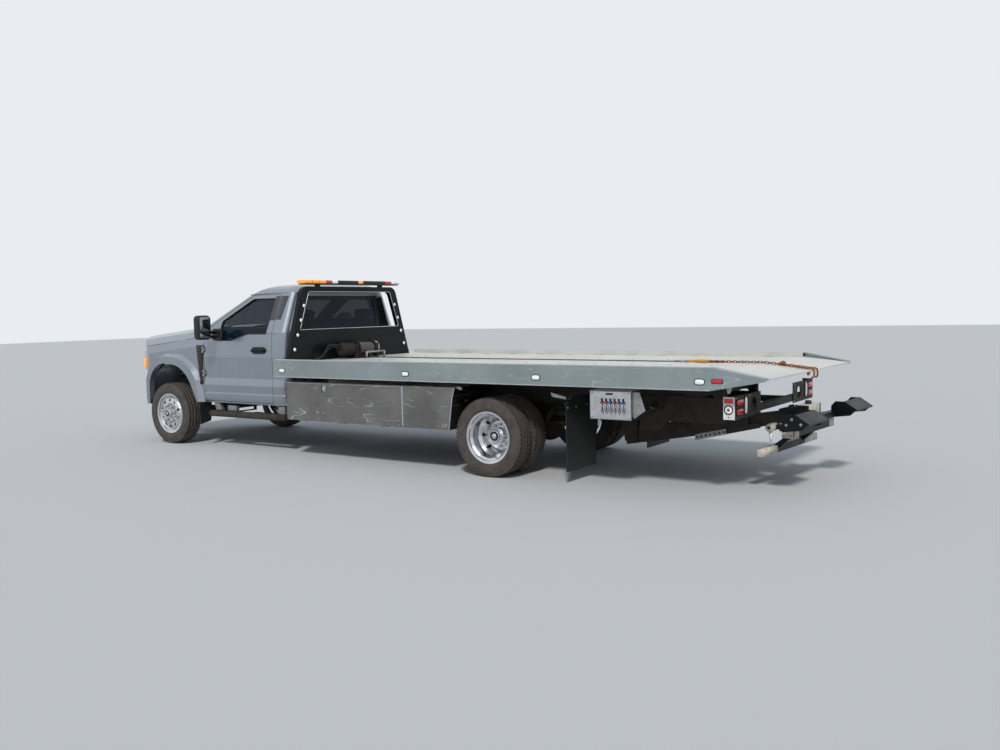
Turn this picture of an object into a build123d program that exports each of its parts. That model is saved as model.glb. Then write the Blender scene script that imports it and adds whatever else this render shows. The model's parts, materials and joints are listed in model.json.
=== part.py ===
from build123d import *
import math
import os

# Flatbed tow truck: regular cab chassis, sliding and tilting carrier bed, wheel lift behind.
# Millimetres. X runs forward from the front axle, Y to the driver's side, Z up from the ground.
# At export the origin moves to the middle of the whole truck's length.

# Driving dimensions
wheelbase = 5215
tyre_radius = 400
tyre_width = 225
rim_flange_radius = 262
front_tyre_y = 950
outer_dual_y = 1074
dual_spacing = 266
cab_front_x = -640
cab_back_x = -2165
cab_half_width = 1012
nose_x = 935
bumper_x = 970
bed_gap = 125
bed_length = 5780
bed_half_width = 1295
bed_top_z = 1148
bed_rail_height = 202
frame_half_width = 432
frame_rail_width = 76
frame_low_z = 560
frame_top_z = 800
cab_frame_top_z = 735
hinge_from_tail = 720
floor_z = 800
floor_wall = 40
running_gap = 0.3
bearing_gap = 0.05
panel_gap = 6

rear_axle_x = -wheelbase
bed_front_x = cab_back_x - bed_gap
bed_tail_x = bed_front_x - bed_length
hinge_x = bed_tail_x + hinge_from_tail
hinge_z = frame_top_z - 20
frame_end_x = hinge_x - 50
frame_inner_y = frame_half_width - frame_rail_width

pieces = {}


def box(x_low, x_high, y_low, y_high, z_low, z_high):
    middle = Pos((x_low + x_high) / 2, (y_low + y_high) / 2, (z_low + z_high) / 2)
    return middle * Box(x_high - x_low, y_high - y_low, z_high - z_low)


def outline_face(plane, points, rounding=0, grow=0):
    # A closed outline of straight runs; one rounding, or a list of one for each corner.
    # A positive grow moves every edge outwards by that much.
    if rounding == 0:
        face = make_face(Polyline(*points, close=True))
    else:
        face = make_face(FilletPolyline(*points, radius=rounding, close=True))
    if grow != 0:
        face = offset(face, amount=grow, kind=Kind.INTERSECTION)
    return plane * face


def side_slab(points, y_low, y_high, rounding=0, grow=0):
    # Outline given as X and Z, carried from y_low to y_high.
    face = outline_face(Plane.XZ, points, rounding, grow)
    return Pos(0, y_low, 0) * extrude(face, amount=y_high - y_low, dir=(0, 1, 0))


def front_slab(points, x_low, x_high, rounding=0, grow=0):
    # Outline given as Y and Z, carried from x_low to x_high.
    face = outline_face(Plane.YZ, points, rounding, grow)
    return Pos(x_low, 0, 0) * extrude(face, amount=x_high - x_low)


def rod_y(x, z, radius, y_low, y_high):
    middle = Pos(x, (y_low + y_high) / 2, z)
    return middle * Rot(90, 0, 0) * Cylinder(radius, y_high - y_low)


def rod_z(x, y, radius, z_low, z_high):
    return Pos(x, y, (z_low + z_high) / 2) * Cylinder(radius, z_high - z_low)


def rod_x(y, z, radius, x_low, x_high):
    return Pos((x_low + x_high) / 2, y, z) * Rot(0, 90, 0) * Cylinder(radius, x_high - x_low)


def other_side(solid):
    return mirror(solid, about=Plane.XZ)


def both_sides(solid):
    return solid + other_side(solid)


def keep(name, shape):
    pieces[name] = shape


def keep_pair(name, left):
    keep("left_" + name, left)
    keep("right_" + name, other_side(left))


# Tyres and wheels: profiles are (distance from the wheel's axis, offset from the tyre's middle)
rim_seat_radius = rim_flange_radius - 14
rim_half_width = 100
rim_wall = 10
rim_well_radius = 226
rim_well_half_width = 52
sidewall_radius = tyre_radius - 75
shoulder_radius = tyre_radius - 14
shoulder_half_width = tyre_width / 2 - 12
tread_half_width = tyre_width / 2 - 28
hub_bolt_radius = 112
front_hole_count = 10
rear_hole_count = 8
hand_hole_radius = 19
hand_hole_ring = 172
disc_wall = 12


def revolved(profile, y_middle, outward=1):
    # Turns a profile of (radius, outward offset) pairs about the wheel's axis.
    points = [(radius, outward * offset) for radius, offset in profile]
    face = outline_face(Plane.XY, points)
    return Pos(0, y_middle, 0) * revolve(face, Axis.Y)


def tyre(y_middle):
    bead = rim_seat_radius + running_gap
    rise = rim_flange_radius + running_gap
    edge = rim_half_width - 6 - running_gap
    half = [
        (bead, 0),
        (bead, edge),
        (rise, edge),
        (rise + 2, tyre_width / 2 - 7),
        (sidewall_radius - 25, tyre_width / 2),
        (sidewall_radius + 15, tyre_width / 2),
        (shoulder_radius, shoulder_half_width),
        (tyre_radius - 3, tread_half_width),
        (tyre_radius, 30),
    ]
    other = [(radius, -offset) for radius, offset in reversed(half) if offset > 0]
    return revolved(half + other, y_middle)


def rim_barrel(y_middle):
    seat = rim_seat_radius
    well = rim_well_radius
    outside = [
        (rim_flange_radius, -rim_half_width),
        (rim_flange_radius, -rim_half_width + 6),
        (seat, -rim_half_width + 6),
        (seat, -rim_well_half_width - 18),
        (well, -rim_well_half_width),
        (well, rim_well_half_width),
        (seat, rim_well_half_width + 18),
        (seat, rim_half_width - 6),
        (rim_flange_radius, rim_half_width - 6),
        (rim_flange_radius, rim_half_width),
    ]
    inside = [
        (seat - rim_wall, rim_half_width - 4),
        (seat - rim_wall, rim_well_half_width + 22),
        (well - rim_wall, rim_well_half_width + 4),
        (well - rim_wall, -rim_well_half_width - 4),
        (seat - rim_wall, -rim_well_half_width - 22),
        (seat - rim_wall, -rim_half_width + 4),
    ]
    return revolved(outside + inside, y_middle)


def ring_of_holes(y_low, y_high, radius, ring, count):
    holes = [
        Rot(0, 360 * turn / count, 0) * rod_y(0, ring, radius, y_low, y_high)
        for turn in range(count)
    ]
    return holes


# Front hub: the spindle on the knuckle runs in the wheel's bore
spindle_radius = 38
spindle_end_y = front_tyre_y + 70
front_disc_offset = 97
front_cap_offset = 138


def front_rim():
    well_in = rim_well_radius - rim_wall
    bore = spindle_radius + bearing_gap
    face = front_disc_offset
    disc = [
        (bore, -60),
        (bore + 34, -60),
        (bore + 34, face - 34),
        (hub_bolt_radius + 24, face - disc_wall),
        (hand_hole_ring + 14, face - 26),
        (well_in + 3, face - 50),
        (well_in + 3, face - 36),
        (hand_hole_ring + 26, face - 14),
        (hand_hole_ring, face - 4),
        (hub_bolt_radius + 30, face),
        (62, face),
        (58, front_cap_offset - 12),
        (40, front_cap_offset),
        (0, front_cap_offset),
        (0, spindle_end_y - front_tyre_y + 6),
        (bore, spindle_end_y - front_tyre_y + 6),
    ]
    wheel = rim_barrel(front_tyre_y) + revolved(disc, front_tyre_y)
    low = front_tyre_y + face - 90
    for hole in ring_of_holes(low, low + 110, hand_hole_radius, hand_hole_ring, front_hole_count):
        wheel -= hole
    return wheel


# Rear hub: the two wheels of a pair meet on one hub that turns on the axle tube's end
dual_plane_y = outer_dual_y - dual_spacing / 2
axle_end_radius = 40
axle_end_y = dual_plane_y + 40


def rear_rims():
    well_in = rim_well_radius - rim_wall
    bore = axle_end_radius + bearing_gap
    depth = dual_spacing / 2
    dish = [
        (bore, -disc_wall),
        (hub_bolt_radius + 34, -disc_wall),
        (well_in + 3, -depth + 36),
        (well_in + 3, -depth + 50),
        (hub_bolt_radius + 40, 0),
        (well_in + 3, depth - 50),
        (well_in + 3, depth - 36),
        (hub_bolt_radius + 34, disc_wall),
        (84, disc_wall),
        (80, disc_wall + 62),
        (62, disc_wall + 74),
        (58, disc_wall + 108),
        (0, disc_wall + 108),
        (0, axle_end_y - dual_plane_y + 6),
        (bore, axle_end_y - dual_plane_y + 6),
    ]
    pair = revolved(dish, dual_plane_y)
    pair += rim_barrel(outer_dual_y)
    pair += rim_barrel(outer_dual_y - dual_spacing)
    low = dual_plane_y - depth
    for hole in ring_of_holes(low, low + dual_spacing, hand_hole_radius, hand_hole_ring, rear_hole_count):
        pair -= hole
    return pair


front_place = Pos(0, 0, tyre_radius)
rear_place = Pos(rear_axle_x, 0, tyre_radius)
keep_pair("front_tyre", front_place * tyre(front_tyre_y))
keep_pair("front_rim", front_place * front_rim())
outer_tyre = rear_place * tyre(outer_dual_y)
inner_tyre = rear_place * tyre(outer_dual_y - dual_spacing)
keep_pair("rear_tyres", outer_tyre + inner_tyre)
keep_pair("rear_rims", rear_place * rear_rims())

# Chassis frame: two channels with cross members, lower under the cab
rail_wall = 10
frame_front_x = 830
frame_step_x = cab_back_x - 60
cross_member_depth = 70
strip_height = 24.7
tilt_beam_low_z = frame_top_z + strip_height + running_gap
tilt_pin_radius = 25
tilt_lug_y = frame_half_width + 1
tilt_lug_wall = 36

# Tilt cylinders: base pin on the chassis, rod end on the tilt frame
ram_y = 250
ram_base_x = rear_axle_x - 635
ram_base_z = 320
ram_eye_x = ram_base_x - 120
ram_eye_z = 870
ram_pin_radius = 18
ram_barrel_radius = 40
ram_rod_radius = 25
ram_eye_radius = 28
ram_gland = 480

# Wheel lift: a box boom that rises rearwards from its pivot, with an inner boom sliding in it
lift_pivot_x = hinge_x + 1085
lift_pivot_z = 350
lift_slope = 9.6
boom_half_width = 100
boom_half_height = 80
boom_wall = 10
boom_length = 1245
boom_front = -75
stinger_half_width = 76
stinger_half_height = 58
stinger_start = 250
crossbar_pivot = 1640
crossbar_yaw = -6
lift_pin_radius = 30
lift_cheek_wall = 20

rail_outline = [
    (frame_front_x, 500),
    (frame_front_x, 690),
    (-450, 700),
    (cab_front_x - 60, cab_frame_top_z),
    (frame_step_x, cab_frame_top_z),
    (frame_step_x - 140, frame_top_z),
    (frame_end_x, frame_top_z),
    (frame_end_x, frame_low_z),
    (-620, frame_low_z),
    (-380, 500),
]


def frame_rail():
    rail = side_slab(rail_outline, frame_inner_y, frame_half_width)
    inset = [
        (frame_front_x + 5, 500 + rail_wall),
        (frame_front_x + 5, 690 - rail_wall),
        (-450, 700 - rail_wall),
        (cab_front_x - 60, cab_frame_top_z - rail_wall),
        (frame_step_x, cab_frame_top_z - rail_wall),
        (frame_step_x - 140, frame_top_z - rail_wall),
        (frame_end_x - 5, frame_top_z - rail_wall),
        (frame_end_x - 5, frame_low_z + rail_wall),
        (-620, frame_low_z + rail_wall),
        (-380, 500 + rail_wall),
    ]
    return rail - side_slab(inset, frame_inner_y - 5, frame_half_width - rail_wall)


# Cross members: place along X, low and high Z
cross_members = [
    (frame_front_x - 40, 520, 670),
    (-520, 510, 560),
    (-1000, 505, 565),
    (-2700, 600, 780),
    (-3700, 600, 780),
    (rear_axle_x + 560, 600, 780),
    (rear_axle_x - 470, 660, 780),
    (frame_end_x + 130, 680, 780),
]
spring_half_length = 620
spring_y = 395
spring_width = 70
box_bracket_y = 660
box_bracket_xs = [-2600, -3500, -4500]


def cross_member(x, z_low, z_high):
    beam = box(x - cross_member_depth / 2, x + cross_member_depth / 2, -frame_half_width + 5,
               frame_half_width - 5, z_low, z_high)
    pocket = box(x - cross_member_depth / 2 + rail_wall, x + cross_member_depth / 2 + 5,
                 -frame_half_width + 30, frame_half_width - 30, z_low + rail_wall, z_high - rail_wall)
    return beam - pocket


def lift_point(along, above=0):
    # A point on the lift boom, by its distance behind the pivot and above its middle line.
    turn = math.radians(lift_slope)
    x = lift_pivot_x - along * math.cos(turn) + above * math.sin(turn)
    z = lift_pivot_z + along * math.sin(turn) + above * math.cos(turn)
    return (x, z)


def lift_slab(points, y_low, y_high):
    return side_slab([lift_point(along, above) for along, above in points], y_low, y_high)


def lift_box(along_low, along_high, above_low, above_high, y_low, y_high):
    corners = [
        (along_low, above_low),
        (along_high, above_low),
        (along_high, above_high),
        (along_low, above_high),
    ]
    return lift_slab(corners, y_low, y_high)


frame = both_sides(frame_rail())
for x, z_low, z_high in cross_members:
    frame += cross_member(x, z_low, z_high)
strip = box(hinge_x + 160, frame_step_x - 160, frame_inner_y + 10, frame_half_width - 10,
            frame_top_z, frame_top_z + strip_height)
frame += both_sides(strip)
cap_outer_y = tilt_lug_y + tilt_lug_wall + 12
stub = rod_y(hinge_x, hinge_z, tilt_pin_radius, frame_half_width - rail_wall, cap_outer_y)
cap = rod_y(hinge_x, hinge_z, tilt_pin_radius + 12, cap_outer_y - 11, cap_outer_y)
frame += both_sides(stub + cap)
for x in box_bracket_xs:
    arm = box(x - 30, x + 30, frame_half_width - 5, box_bracket_y, 700, 760)
    frame += both_sides(arm)
cab_mount_xs = [cab_front_x - 260, cab_back_x + 165]
cab_floor_low_z = floor_z - floor_wall
for x in cab_mount_xs:
    mount_block = box(x - 45, x + 45, frame_inner_y + 5, frame_half_width - 5, cab_frame_top_z - 5,
                      cab_floor_low_z)
    frame += both_sides(mount_block)
keep("frame_rails", frame)

# Rear axle with its springs
axle_tube_radius = 55
spring_low_z = tyre_radius + axle_tube_radius + 5
spring_leaf = 14


def leaf_spring(middle_x, low_z, half_length):
    pack = box(middle_x - half_length, middle_x + half_length, spring_y - spring_width / 2,
               spring_y + spring_width / 2, low_z + 2 * spring_leaf, low_z + 3 * spring_leaf)
    pack += box(middle_x - half_length * 0.7, middle_x + half_length * 0.7, spring_y - spring_width / 2,
                spring_y + spring_width / 2, low_z + spring_leaf, low_z + 2 * spring_leaf)
    pack += box(middle_x - half_length * 0.4, middle_x + half_length * 0.4, spring_y - spring_width / 2,
                spring_y + spring_width / 2, low_z, low_z + spring_leaf)
    for end in (-1, 1):
        x = middle_x + end * (half_length - 35)
        pack += box(x - 35, x + 35, spring_y - spring_width / 2, spring_y + spring_width / 2,
                    low_z + 2 * spring_leaf, frame_low_z)
    return pack


rear_axle = rod_y(rear_axle_x, tyre_radius, axle_tube_radius, -outer_dual_y + dual_spacing + 105,
                  outer_dual_y - dual_spacing - 105)
rear_axle += Pos(rear_axle_x, 0, tyre_radius) * Sphere(170)
rear_axle += rod_x(0, tyre_radius, 75, rear_axle_x, rear_axle_x + 330)
spindle = rod_y(rear_axle_x, tyre_radius, axle_end_radius, outer_dual_y - dual_spacing - 110, axle_end_y)
seat_pad = box(rear_axle_x - 70, rear_axle_x + 70, spring_y - 40, spring_y + 40, tyre_radius,
               spring_low_z)
spring = leaf_spring(rear_axle_x, spring_low_z, spring_half_length)
rear_axle += both_sides(spindle + seat_pad + spring)
keep("rear_axle", rear_axle)

# Front axle, knuckles and coil springs
kingpin_y = 770
kingpin_radius = 22
beam_half_height = 45
ear_height = 22
coil_y = 515
coil_radius = 62
coil_rings = 5

front_axle = box(-45, 45, -kingpin_y + 60, kingpin_y - 60, tyre_radius - 40, tyre_radius + 40)
boss = rod_z(0, kingpin_y, 42, tyre_radius - beam_half_height, tyre_radius + beam_half_height)
boss -= rod_z(0, kingpin_y, kingpin_radius + bearing_gap, tyre_radius - 60, tyre_radius + 60)
neck = box(-30, 30, kingpin_y - 70, kingpin_y - 38, tyre_radius - 35, tyre_radius + 35)
front_axle += both_sides(boss + neck)
front_axle += Pos(0, 130, tyre_radius) * Sphere(120)
coil_top_z = 620
coil_step = (coil_top_z - tyre_radius - 40) / (2 * coil_rings)
coil = rod_z(0, coil_y, coil_radius - 14, tyre_radius + 40, coil_top_z)
for ring in range(coil_rings):
    low = tyre_radius + 40 + (2 * ring + 0.5) * coil_step
    coil += rod_z(0, coil_y, coil_radius, low, low + coil_step)
tower = box(-75, 75, frame_half_width - 8, coil_y + 75, coil_top_z, coil_top_z + 14)
front_axle += both_sides(coil)
keep("front_axle", front_axle)
pieces["frame_rails"] += both_sides(tower)


def knuckle():
    # A yoke over and under the axle's boss, with the kingpin and the wheel's spindle.
    top_z = tyre_radius + beam_half_height + 5.5
    low_z = tyre_radius - beam_half_height - 5.5
    yoke = box(-40, 40, kingpin_y - 40, kingpin_y + 75, top_z, top_z + ear_height)
    yoke += box(-40, 40, kingpin_y - 40, kingpin_y + 75, low_z - ear_height, low_z)
    yoke += box(-48, 48, kingpin_y + 48, kingpin_y + 76, low_z - ear_height, top_z + ear_height)
    yoke += rod_z(0, kingpin_y, kingpin_radius, low_z - ear_height, top_z + ear_height)
    yoke += rod_y(0, tyre_radius, spindle_radius, kingpin_y + 60, spindle_end_y)
    yoke += box(-190, -30, kingpin_y - 20, kingpin_y + 10, low_z - ear_height, low_z)
    return yoke


keep_pair("knuckle", knuckle())

# Engine as one block with its gearbox, and the drive shaft
engine = box(-540, 420, -330, 330, 560, 1120)
engine += box(-1290, -540, -170, 170, 565, 730)
shaft_start = Vector(-1290, 0, 640)
shaft_end = Vector(rear_axle_x + 330, 0, tyre_radius)
shaft_length = (shaft_end - shaft_start).length
shaft_plane = Plane(origin=shaft_start, z_dir=shaft_end - shaft_start)
shaft_end_gap = 10
shaft_flange = 20


def shaft_tube(radius, low, high):
    return shaft_plane * Pos(0, 0, (low + high) / 2) * Cylinder(radius, high - low)


shaft = shaft_tube(48, shaft_end_gap, shaft_length - shaft_end_gap)
shaft += shaft_tube(70, shaft_end_gap, shaft_end_gap + shaft_flange)
shaft += shaft_tube(70, shaft_length - shaft_end_gap - shaft_flange, shaft_length - shaft_end_gap)
keep("drive_shaft", shaft)
engine += shaft_tube(40, -30, shaft_end_gap)
keep("engine_block", engine)
pieces["rear_axle"] += shaft_tube(40, shaft_length - shaft_end_gap, shaft_length + 30)

# Fuel tank beside the left rail, hung on two straps
tank = box(-3650, -2500, frame_half_width + 2, box_bracket_y - 12, 430, 690)
tank = fillet(tank.edges().filter_by(Axis.X), 30)
for x in (-2780, -3380):
    band = box(x - 25, x + 25, frame_half_width, frame_half_width + 6, 600, 720)
    tank += band
keep("fuel_tank", tank)

# Cab: lower body from a front-view outline, greenhouse from level sections
# Side outline of the body, out from the middle and up: sill, flank, crease, shoulder, belt
cab_low_z = 572
belt_z = 1450
cab_wall = 45
door_inner_y = cab_half_width - 87
body_flank = [
    (cab_half_width - 14, cab_low_z),
    (cab_half_width + 4, 636),
    (cab_half_width + 7, 688),
    (cab_half_width, 704),
    (cab_half_width + 10, 798),
    (cab_half_width - 8, 886),
    (cab_half_width, 1150),
    (cab_half_width - 6, 1330),
    (cab_half_width - 14, belt_z),
]
# Greenhouse levels: height, front in the middle, front at the side, half width, back
greenhouse_levels = [
    (belt_z, -250, -530, cab_half_width - 14, cab_back_x),
    (1880, -1072, -1302, cab_half_width - 183, cab_back_x + 8),
    (1930, -1194, -1402, cab_half_width - 206, cab_back_x + 14),
    (1968, -1316, -1494, cab_half_width - 236, cab_back_x + 28),
    (1996, -1444, -1584, cab_half_width - 280, cab_back_x + 52),
    (2016, -1574, -1672, cab_half_width - 350, cab_back_x + 96),
    (2028, -1694, -1752, cab_half_width - 452, cab_back_x + 170),
]
cab_corner_radius = 96


def rear_corner(rear, width, radius, side):
    # The quarter turn from the cab's flank to its back, on the left or the right.
    turn = radius * (1 - math.sqrt(0.5))
    points = [
        (rear + radius, side * width),
        (rear + turn, side * (width - turn)),
        (rear, side * (width - radius)),
    ]
    if side < 0:
        points.reverse()
    return ThreePointArc(*points)


def level_section(z, front_mid, front_side, half_width, back, inset):
    front = front_mid - inset
    side = front_side - inset
    width = half_width - inset
    rear = back + inset
    corner = 90
    radius = cab_corner_radius - inset
    left = Line((side - corner, width), (rear + radius, width))
    rear_edge = Line((rear, width - radius), (rear, radius - width))
    right = Line((rear + radius, -width), (side - corner, -width))
    corner_right = ThreePointArc((side - corner, -width), (side - 22, -width + 26), (side, -width + 100))
    nose = ThreePointArc((side, -width + 100), (front, 0), (side, width - 100))
    corner_left = ThreePointArc((side, width - 100), (side - 22, width - 26), (side - corner, width))
    rear_left = rear_corner(rear, width, radius, 1)
    rear_right = rear_corner(rear, width, radius, -1)
    edges = [left, rear_left, rear_edge, rear_right, right, corner_right, nose, corner_left]
    return Pos(0, 0, z) * make_face(edges)


def body_section(z, width):
    # A level section of the lower cab: square in front, rounded at the back.
    radius = cab_corner_radius
    edges = [
        Line((cab_front_x, width), (cab_back_x + radius, width)),
        rear_corner(cab_back_x, width, radius, 1),
        Line((cab_back_x, width - radius), (cab_back_x, radius - width)),
        rear_corner(cab_back_x, width, radius, -1),
        Line((cab_back_x + radius, -width), (cab_front_x, -width)),
        Line((cab_front_x, -width), (cab_front_x, width)),
    ]
    return Pos(0, 0, z) * make_face(edges)


def greenhouse(inset, drop=0):
    # The upper cab, or the space inside it when inset, its roof lowered by the drop.
    sections = [
        level_section(z - (drop if z > belt_z else -drop), mid, side, width, back, inset)
        for z, mid, side, width, back in greenhouse_levels
    ]
    return loft(sections, ruled=True)


def mirrored_outline(half):
    return half + [(-across, up) for across, up in reversed(half)]


clip_wall = 26
hinge_pillar_y = cab_half_width - clip_wall - panel_gap
door_front_x = cab_front_x - 54
cab_lower = loft([body_section(z, width) for width, z in body_flank], ruled=True)
relief_outer_y = cab_half_width + 50
front_relief = box(door_front_x - 2, cab_front_x + 5, hinge_pillar_y, relief_outer_y, 500, belt_z + 5)
cab_lower -= both_sides(front_relief)
cab_outer = cab_lower + greenhouse(0)
cavity = box(cab_back_x + cab_wall, cab_front_x - cab_wall, -door_inner_y, door_inner_y, floor_z,
             belt_z + 60)
roof_inside = greenhouse(55, drop=45)
cab_shell = cab_outer - cavity - roof_inside
under_floor_y = cab_half_width - 212
cab_shell -= box(cab_back_x - 5, cab_front_x + 5, -under_floor_y, under_floor_y, cab_low_z - 5,
                 cab_floor_low_z)

# Door: outline as X and Z, front edge, bottom, back edge, roof rail and windscreen pillar
door_back_x = cab_back_x + 215
door_low_z = 596
door_top_z = 1905
door_outline = [
    (door_front_x, door_low_z),
    (door_back_x, door_low_z),
    (door_back_x, door_top_z),
    (-1475, door_top_z),
    (door_front_x, 1462),
]
window_outline = [
    (-1000, 1352),
    (-1215, 1352),
    (-1520, 1430),
    (-1850, 1430),
    (-1872, 1862),
    (-1478, 1862),
    (-1000, 1592),
]
glass_wall = 8
glass_depth = 14
window_gap = running_gap


pillar_inner_y = cab_half_width - 372
window_inner_y = cab_half_width - 412
outside_y = cab_half_width + 88
pillar_zone = box(-3000, 0, window_inner_y, outside_y, belt_z - 60, 2000)
door_prism = side_slab(door_outline, door_inner_y, outside_y)
door_prism += side_slab(door_outline, pillar_inner_y, outside_y) & pillar_zone
door_cut = side_slab(door_outline, door_inner_y - 8, outside_y, grow=panel_gap)
door_cut += side_slab(door_outline, pillar_inner_y, outside_y, grow=panel_gap) & pillar_zone
window_cut = side_slab(window_outline, window_inner_y, outside_y)
door = (cab_outer - cavity - roof_inside) & door_prism
door -= window_cut
cab_shell -= door_cut
cab_shell -= other_side(door_cut)
glass_skin = greenhouse(glass_depth) - greenhouse(glass_depth + glass_wall)
pane_outer_y = cab_half_width - 14 - glass_depth
lower_skin = side_slab(window_outline, window_inner_y, outside_y)
lower_skin = lower_skin & box(cab_back_x, 0, pane_outer_y - glass_wall, pane_outer_y, 1300, belt_z)
pane = side_slab(window_outline, window_inner_y, outside_y, grow=-window_gap)
door_glass = (glass_skin & pane) + (lower_skin & pane)
door_handle = box(door_back_x + 120, door_back_x + 330, cab_half_width - 4, cab_half_width + 32,
                  1215, 1250)
door += door_handle
# Door hinges: a barrel on the door turns between two barrels on the fender's rear edge
door_hinge_y = cab_half_width + 16
door_hinge_radius = 8
door_hinge_zs = [940, 1240]
knuckle_half = 14
hinge_barrels = Part()
for z in door_hinge_zs:
    door += rod_z(door_front_x, door_hinge_y, door_hinge_radius, z - knuckle_half, z + knuckle_half)
    door += box(door_front_x - 26, door_front_x, cab_half_width - 12, door_hinge_y, z - knuckle_half,
                z + knuckle_half)
    for low, high in ((z - 40, z - knuckle_half - running_gap), (z + knuckle_half + running_gap, z + 40)):
        hinge_barrels += rod_z(door_front_x, door_hinge_y, door_hinge_radius, low, high)
        hinge_barrels += box(door_front_x, door_front_x + 26, cab_half_width - 12, door_hinge_y, low, high)
keep_pair("door", door)
keep_pair("door_glass", door_glass)

# Windscreen and rear window: openings in the front and back of the greenhouse
striker = box(door_back_x - panel_gap - 4, door_back_x - running_gap, door_inner_y + 20, door_inner_y + 60,
              1050, 1110)
cab_shell += both_sides(striker)
screen_low_y = cab_half_width - 107
screen_high_y = cab_half_width - 297
screen_outline = [
    (screen_low_y, 1535),
    (screen_high_y, 1886),
    (-screen_high_y, 1886),
    (-screen_low_y, 1535),
]
back_low_y = cab_half_width - 352
back_high_y = cab_half_width - 412
back_outline = [
    (back_low_y, 1460),
    (back_high_y, 1840),
    (-back_high_y, 1840),
    (-back_low_y, 1460),
]
screen_span = (-1480, -100)
back_span = (cab_back_x - 20, cab_back_x + 80)
cab_shell -= front_slab(screen_outline, *screen_span)
cab_shell -= front_slab(back_outline, *back_span)
screen_glass = glass_skin & front_slab(screen_outline, *screen_span, grow=-window_gap)
screen_glass += glass_skin & front_slab(back_outline, *back_span, grow=-window_gap)
keep("cab_shell", max(cab_shell.solids(), key=lambda solid: solid.volume))
keep("cab_glass", screen_glass)

# Door mirror on its arms
mirror_x = -990
mirror_y = cab_half_width + 238
mirror_low_z = 1371
mirror_high_z = 1674
mirror_half_depth = 56
mirror_half_width = 98
head = box(mirror_x - mirror_half_depth, mirror_x + mirror_half_depth, mirror_y - mirror_half_width,
           mirror_y + mirror_half_width, mirror_low_z, mirror_high_z)
head = fillet(head.edges().filter_by(Axis.X), 48)
head = fillet(head.faces().sort_by(Axis.X)[-1].edges(), 30)
arm_inner_y = cab_half_width - 10
head += box(mirror_x - 20, mirror_x + 40, arm_inner_y, mirror_y - 80, 1392, 1424)
head += box(mirror_x - 20, mirror_x + 40, arm_inner_y, mirror_y - 80, 1440, 1472)
head += box(mirror_x - 20, mirror_x + 40, arm_inner_y, arm_inner_y + 20, 1392, 1472)
keep_pair("mirror", head)

# Cab inside: dashboard with steering wheel, bench
dash_outline = [
    (cab_front_x - cab_wall, 1180),
    (cab_front_x - cab_wall, 1430),
    (-820, 1440),
    (-960, 1360),
    (-960, 1250),
    (-850, 1180),
]
dash = side_slab(dash_outline, -door_inner_y + 20, door_inner_y - 20)
column_lean = math.radians(24)
wheel_plane = Plane(origin=(-1130, 400, 1290), z_dir=(-math.cos(column_lean), 0, math.sin(column_lean)))
steering = wheel_plane * Torus(185, 15)
steering += wheel_plane * Box(366, 34, 16)
steering += wheel_plane * Pos(0, 0, -5) * Cylinder(55, 40)
steering += wheel_plane * Pos(0, 0, -115) * Cylinder(28, 220)
dash += steering
keep("dashboard", dash)
seat_outline = [
    (-1330, floor_z),
    (-1330, 1090),
    (-1370, 1130),
    (-1860, 1090),
    (-1985, 1720),
    (-2085, 1720),
    (-2040, floor_z),
]
bench_half_width = cab_half_width - 232
bench = side_slab(seat_outline, -bench_half_width, bench_half_width, rounding=[0, 25, 25, 25, 35, 35, 0])
keep("bench_seat", bench)

# Front clip: fenders and nose as one shell, with the hood cut from the same form
# Plan outline of the nose and side outline of the hood line
hood_line = [
    (door_front_x + panel_gap, 572),
    (door_front_x + panel_gap, 1512),
    (-300, 1508),
    (250, 1462),
    (720, 1400),
    (890, 1352),
    (nose_x, 1250),
    (nose_x, 790),
    (372, 790),
    (372, 572),
]
shoulder_outline = [
    (cab_half_width, 400),
    (cab_half_width, 1260),
    (cab_half_width - 22, 1360),
    (cab_half_width - 112, 1458),
    (cab_half_width - 252, 1512),
]
hood_slope = 0.1
corner_y = cab_half_width - 72
brow_y = cab_half_width - 212


def clip_form(inset):
    # The front body's outer form, or the space inside it when inset.
    side = door_front_x + panel_gap
    width = cab_half_width - inset
    tip = nose_x - inset
    plan_edges = [
        Line((side - 5, width), (430, width)),
        ThreePointArc((430, width), (600 - inset, corner_y - inset), (720 - inset, brow_y - inset)),
        ThreePointArc((720 - inset, brow_y - inset), (tip, 0), (720 - inset, inset - brow_y)),
        ThreePointArc((720 - inset, inset - brow_y), (600 - inset, inset - corner_y), (430, -width)),
        Line((430, -width), (side - 5, -width)),
        Line((side - 5, -width), (side - 5, width)),
    ]
    form = Pos(0, 0, 400) * extrude(make_face(plan_edges), amount=1200)
    outline = [(x, z - inset) for x, z in hood_line]
    if inset > 0:
        outline[0] = (hood_line[0][0] - 10, 300)
        outline[1] = (hood_line[1][0] - 10, hood_line[1][1] - inset)
        outline = outline[:7] + [(nose_x, 300)]
    form = form & side_slab(outline, -outside_y, outside_y)
    half = [(across - inset, up - (inset if up > 500 else 0)) for across, up in shoulder_outline]
    shoulders = outline_face(Plane.YZ, mirrored_outline(half))
    ridge = Pos(-900, 0, 55) * extrude(shoulders, amount=2100, dir=(1, 0, -hood_slope))
    return form & ridge


arch_inner = [
    Line((388, 300), (376, 790)),
    ThreePointArc((376, 790), (290, 955), (-30, 1045)),
    ThreePointArc((-30, 1045), (-335, 962), (-475, 800)),
    Line((-475, 800), (-602, 560)),
    Line((-602, 560), (-602, 300)),
    Line((-602, 300), (388, 300)),
]


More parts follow.
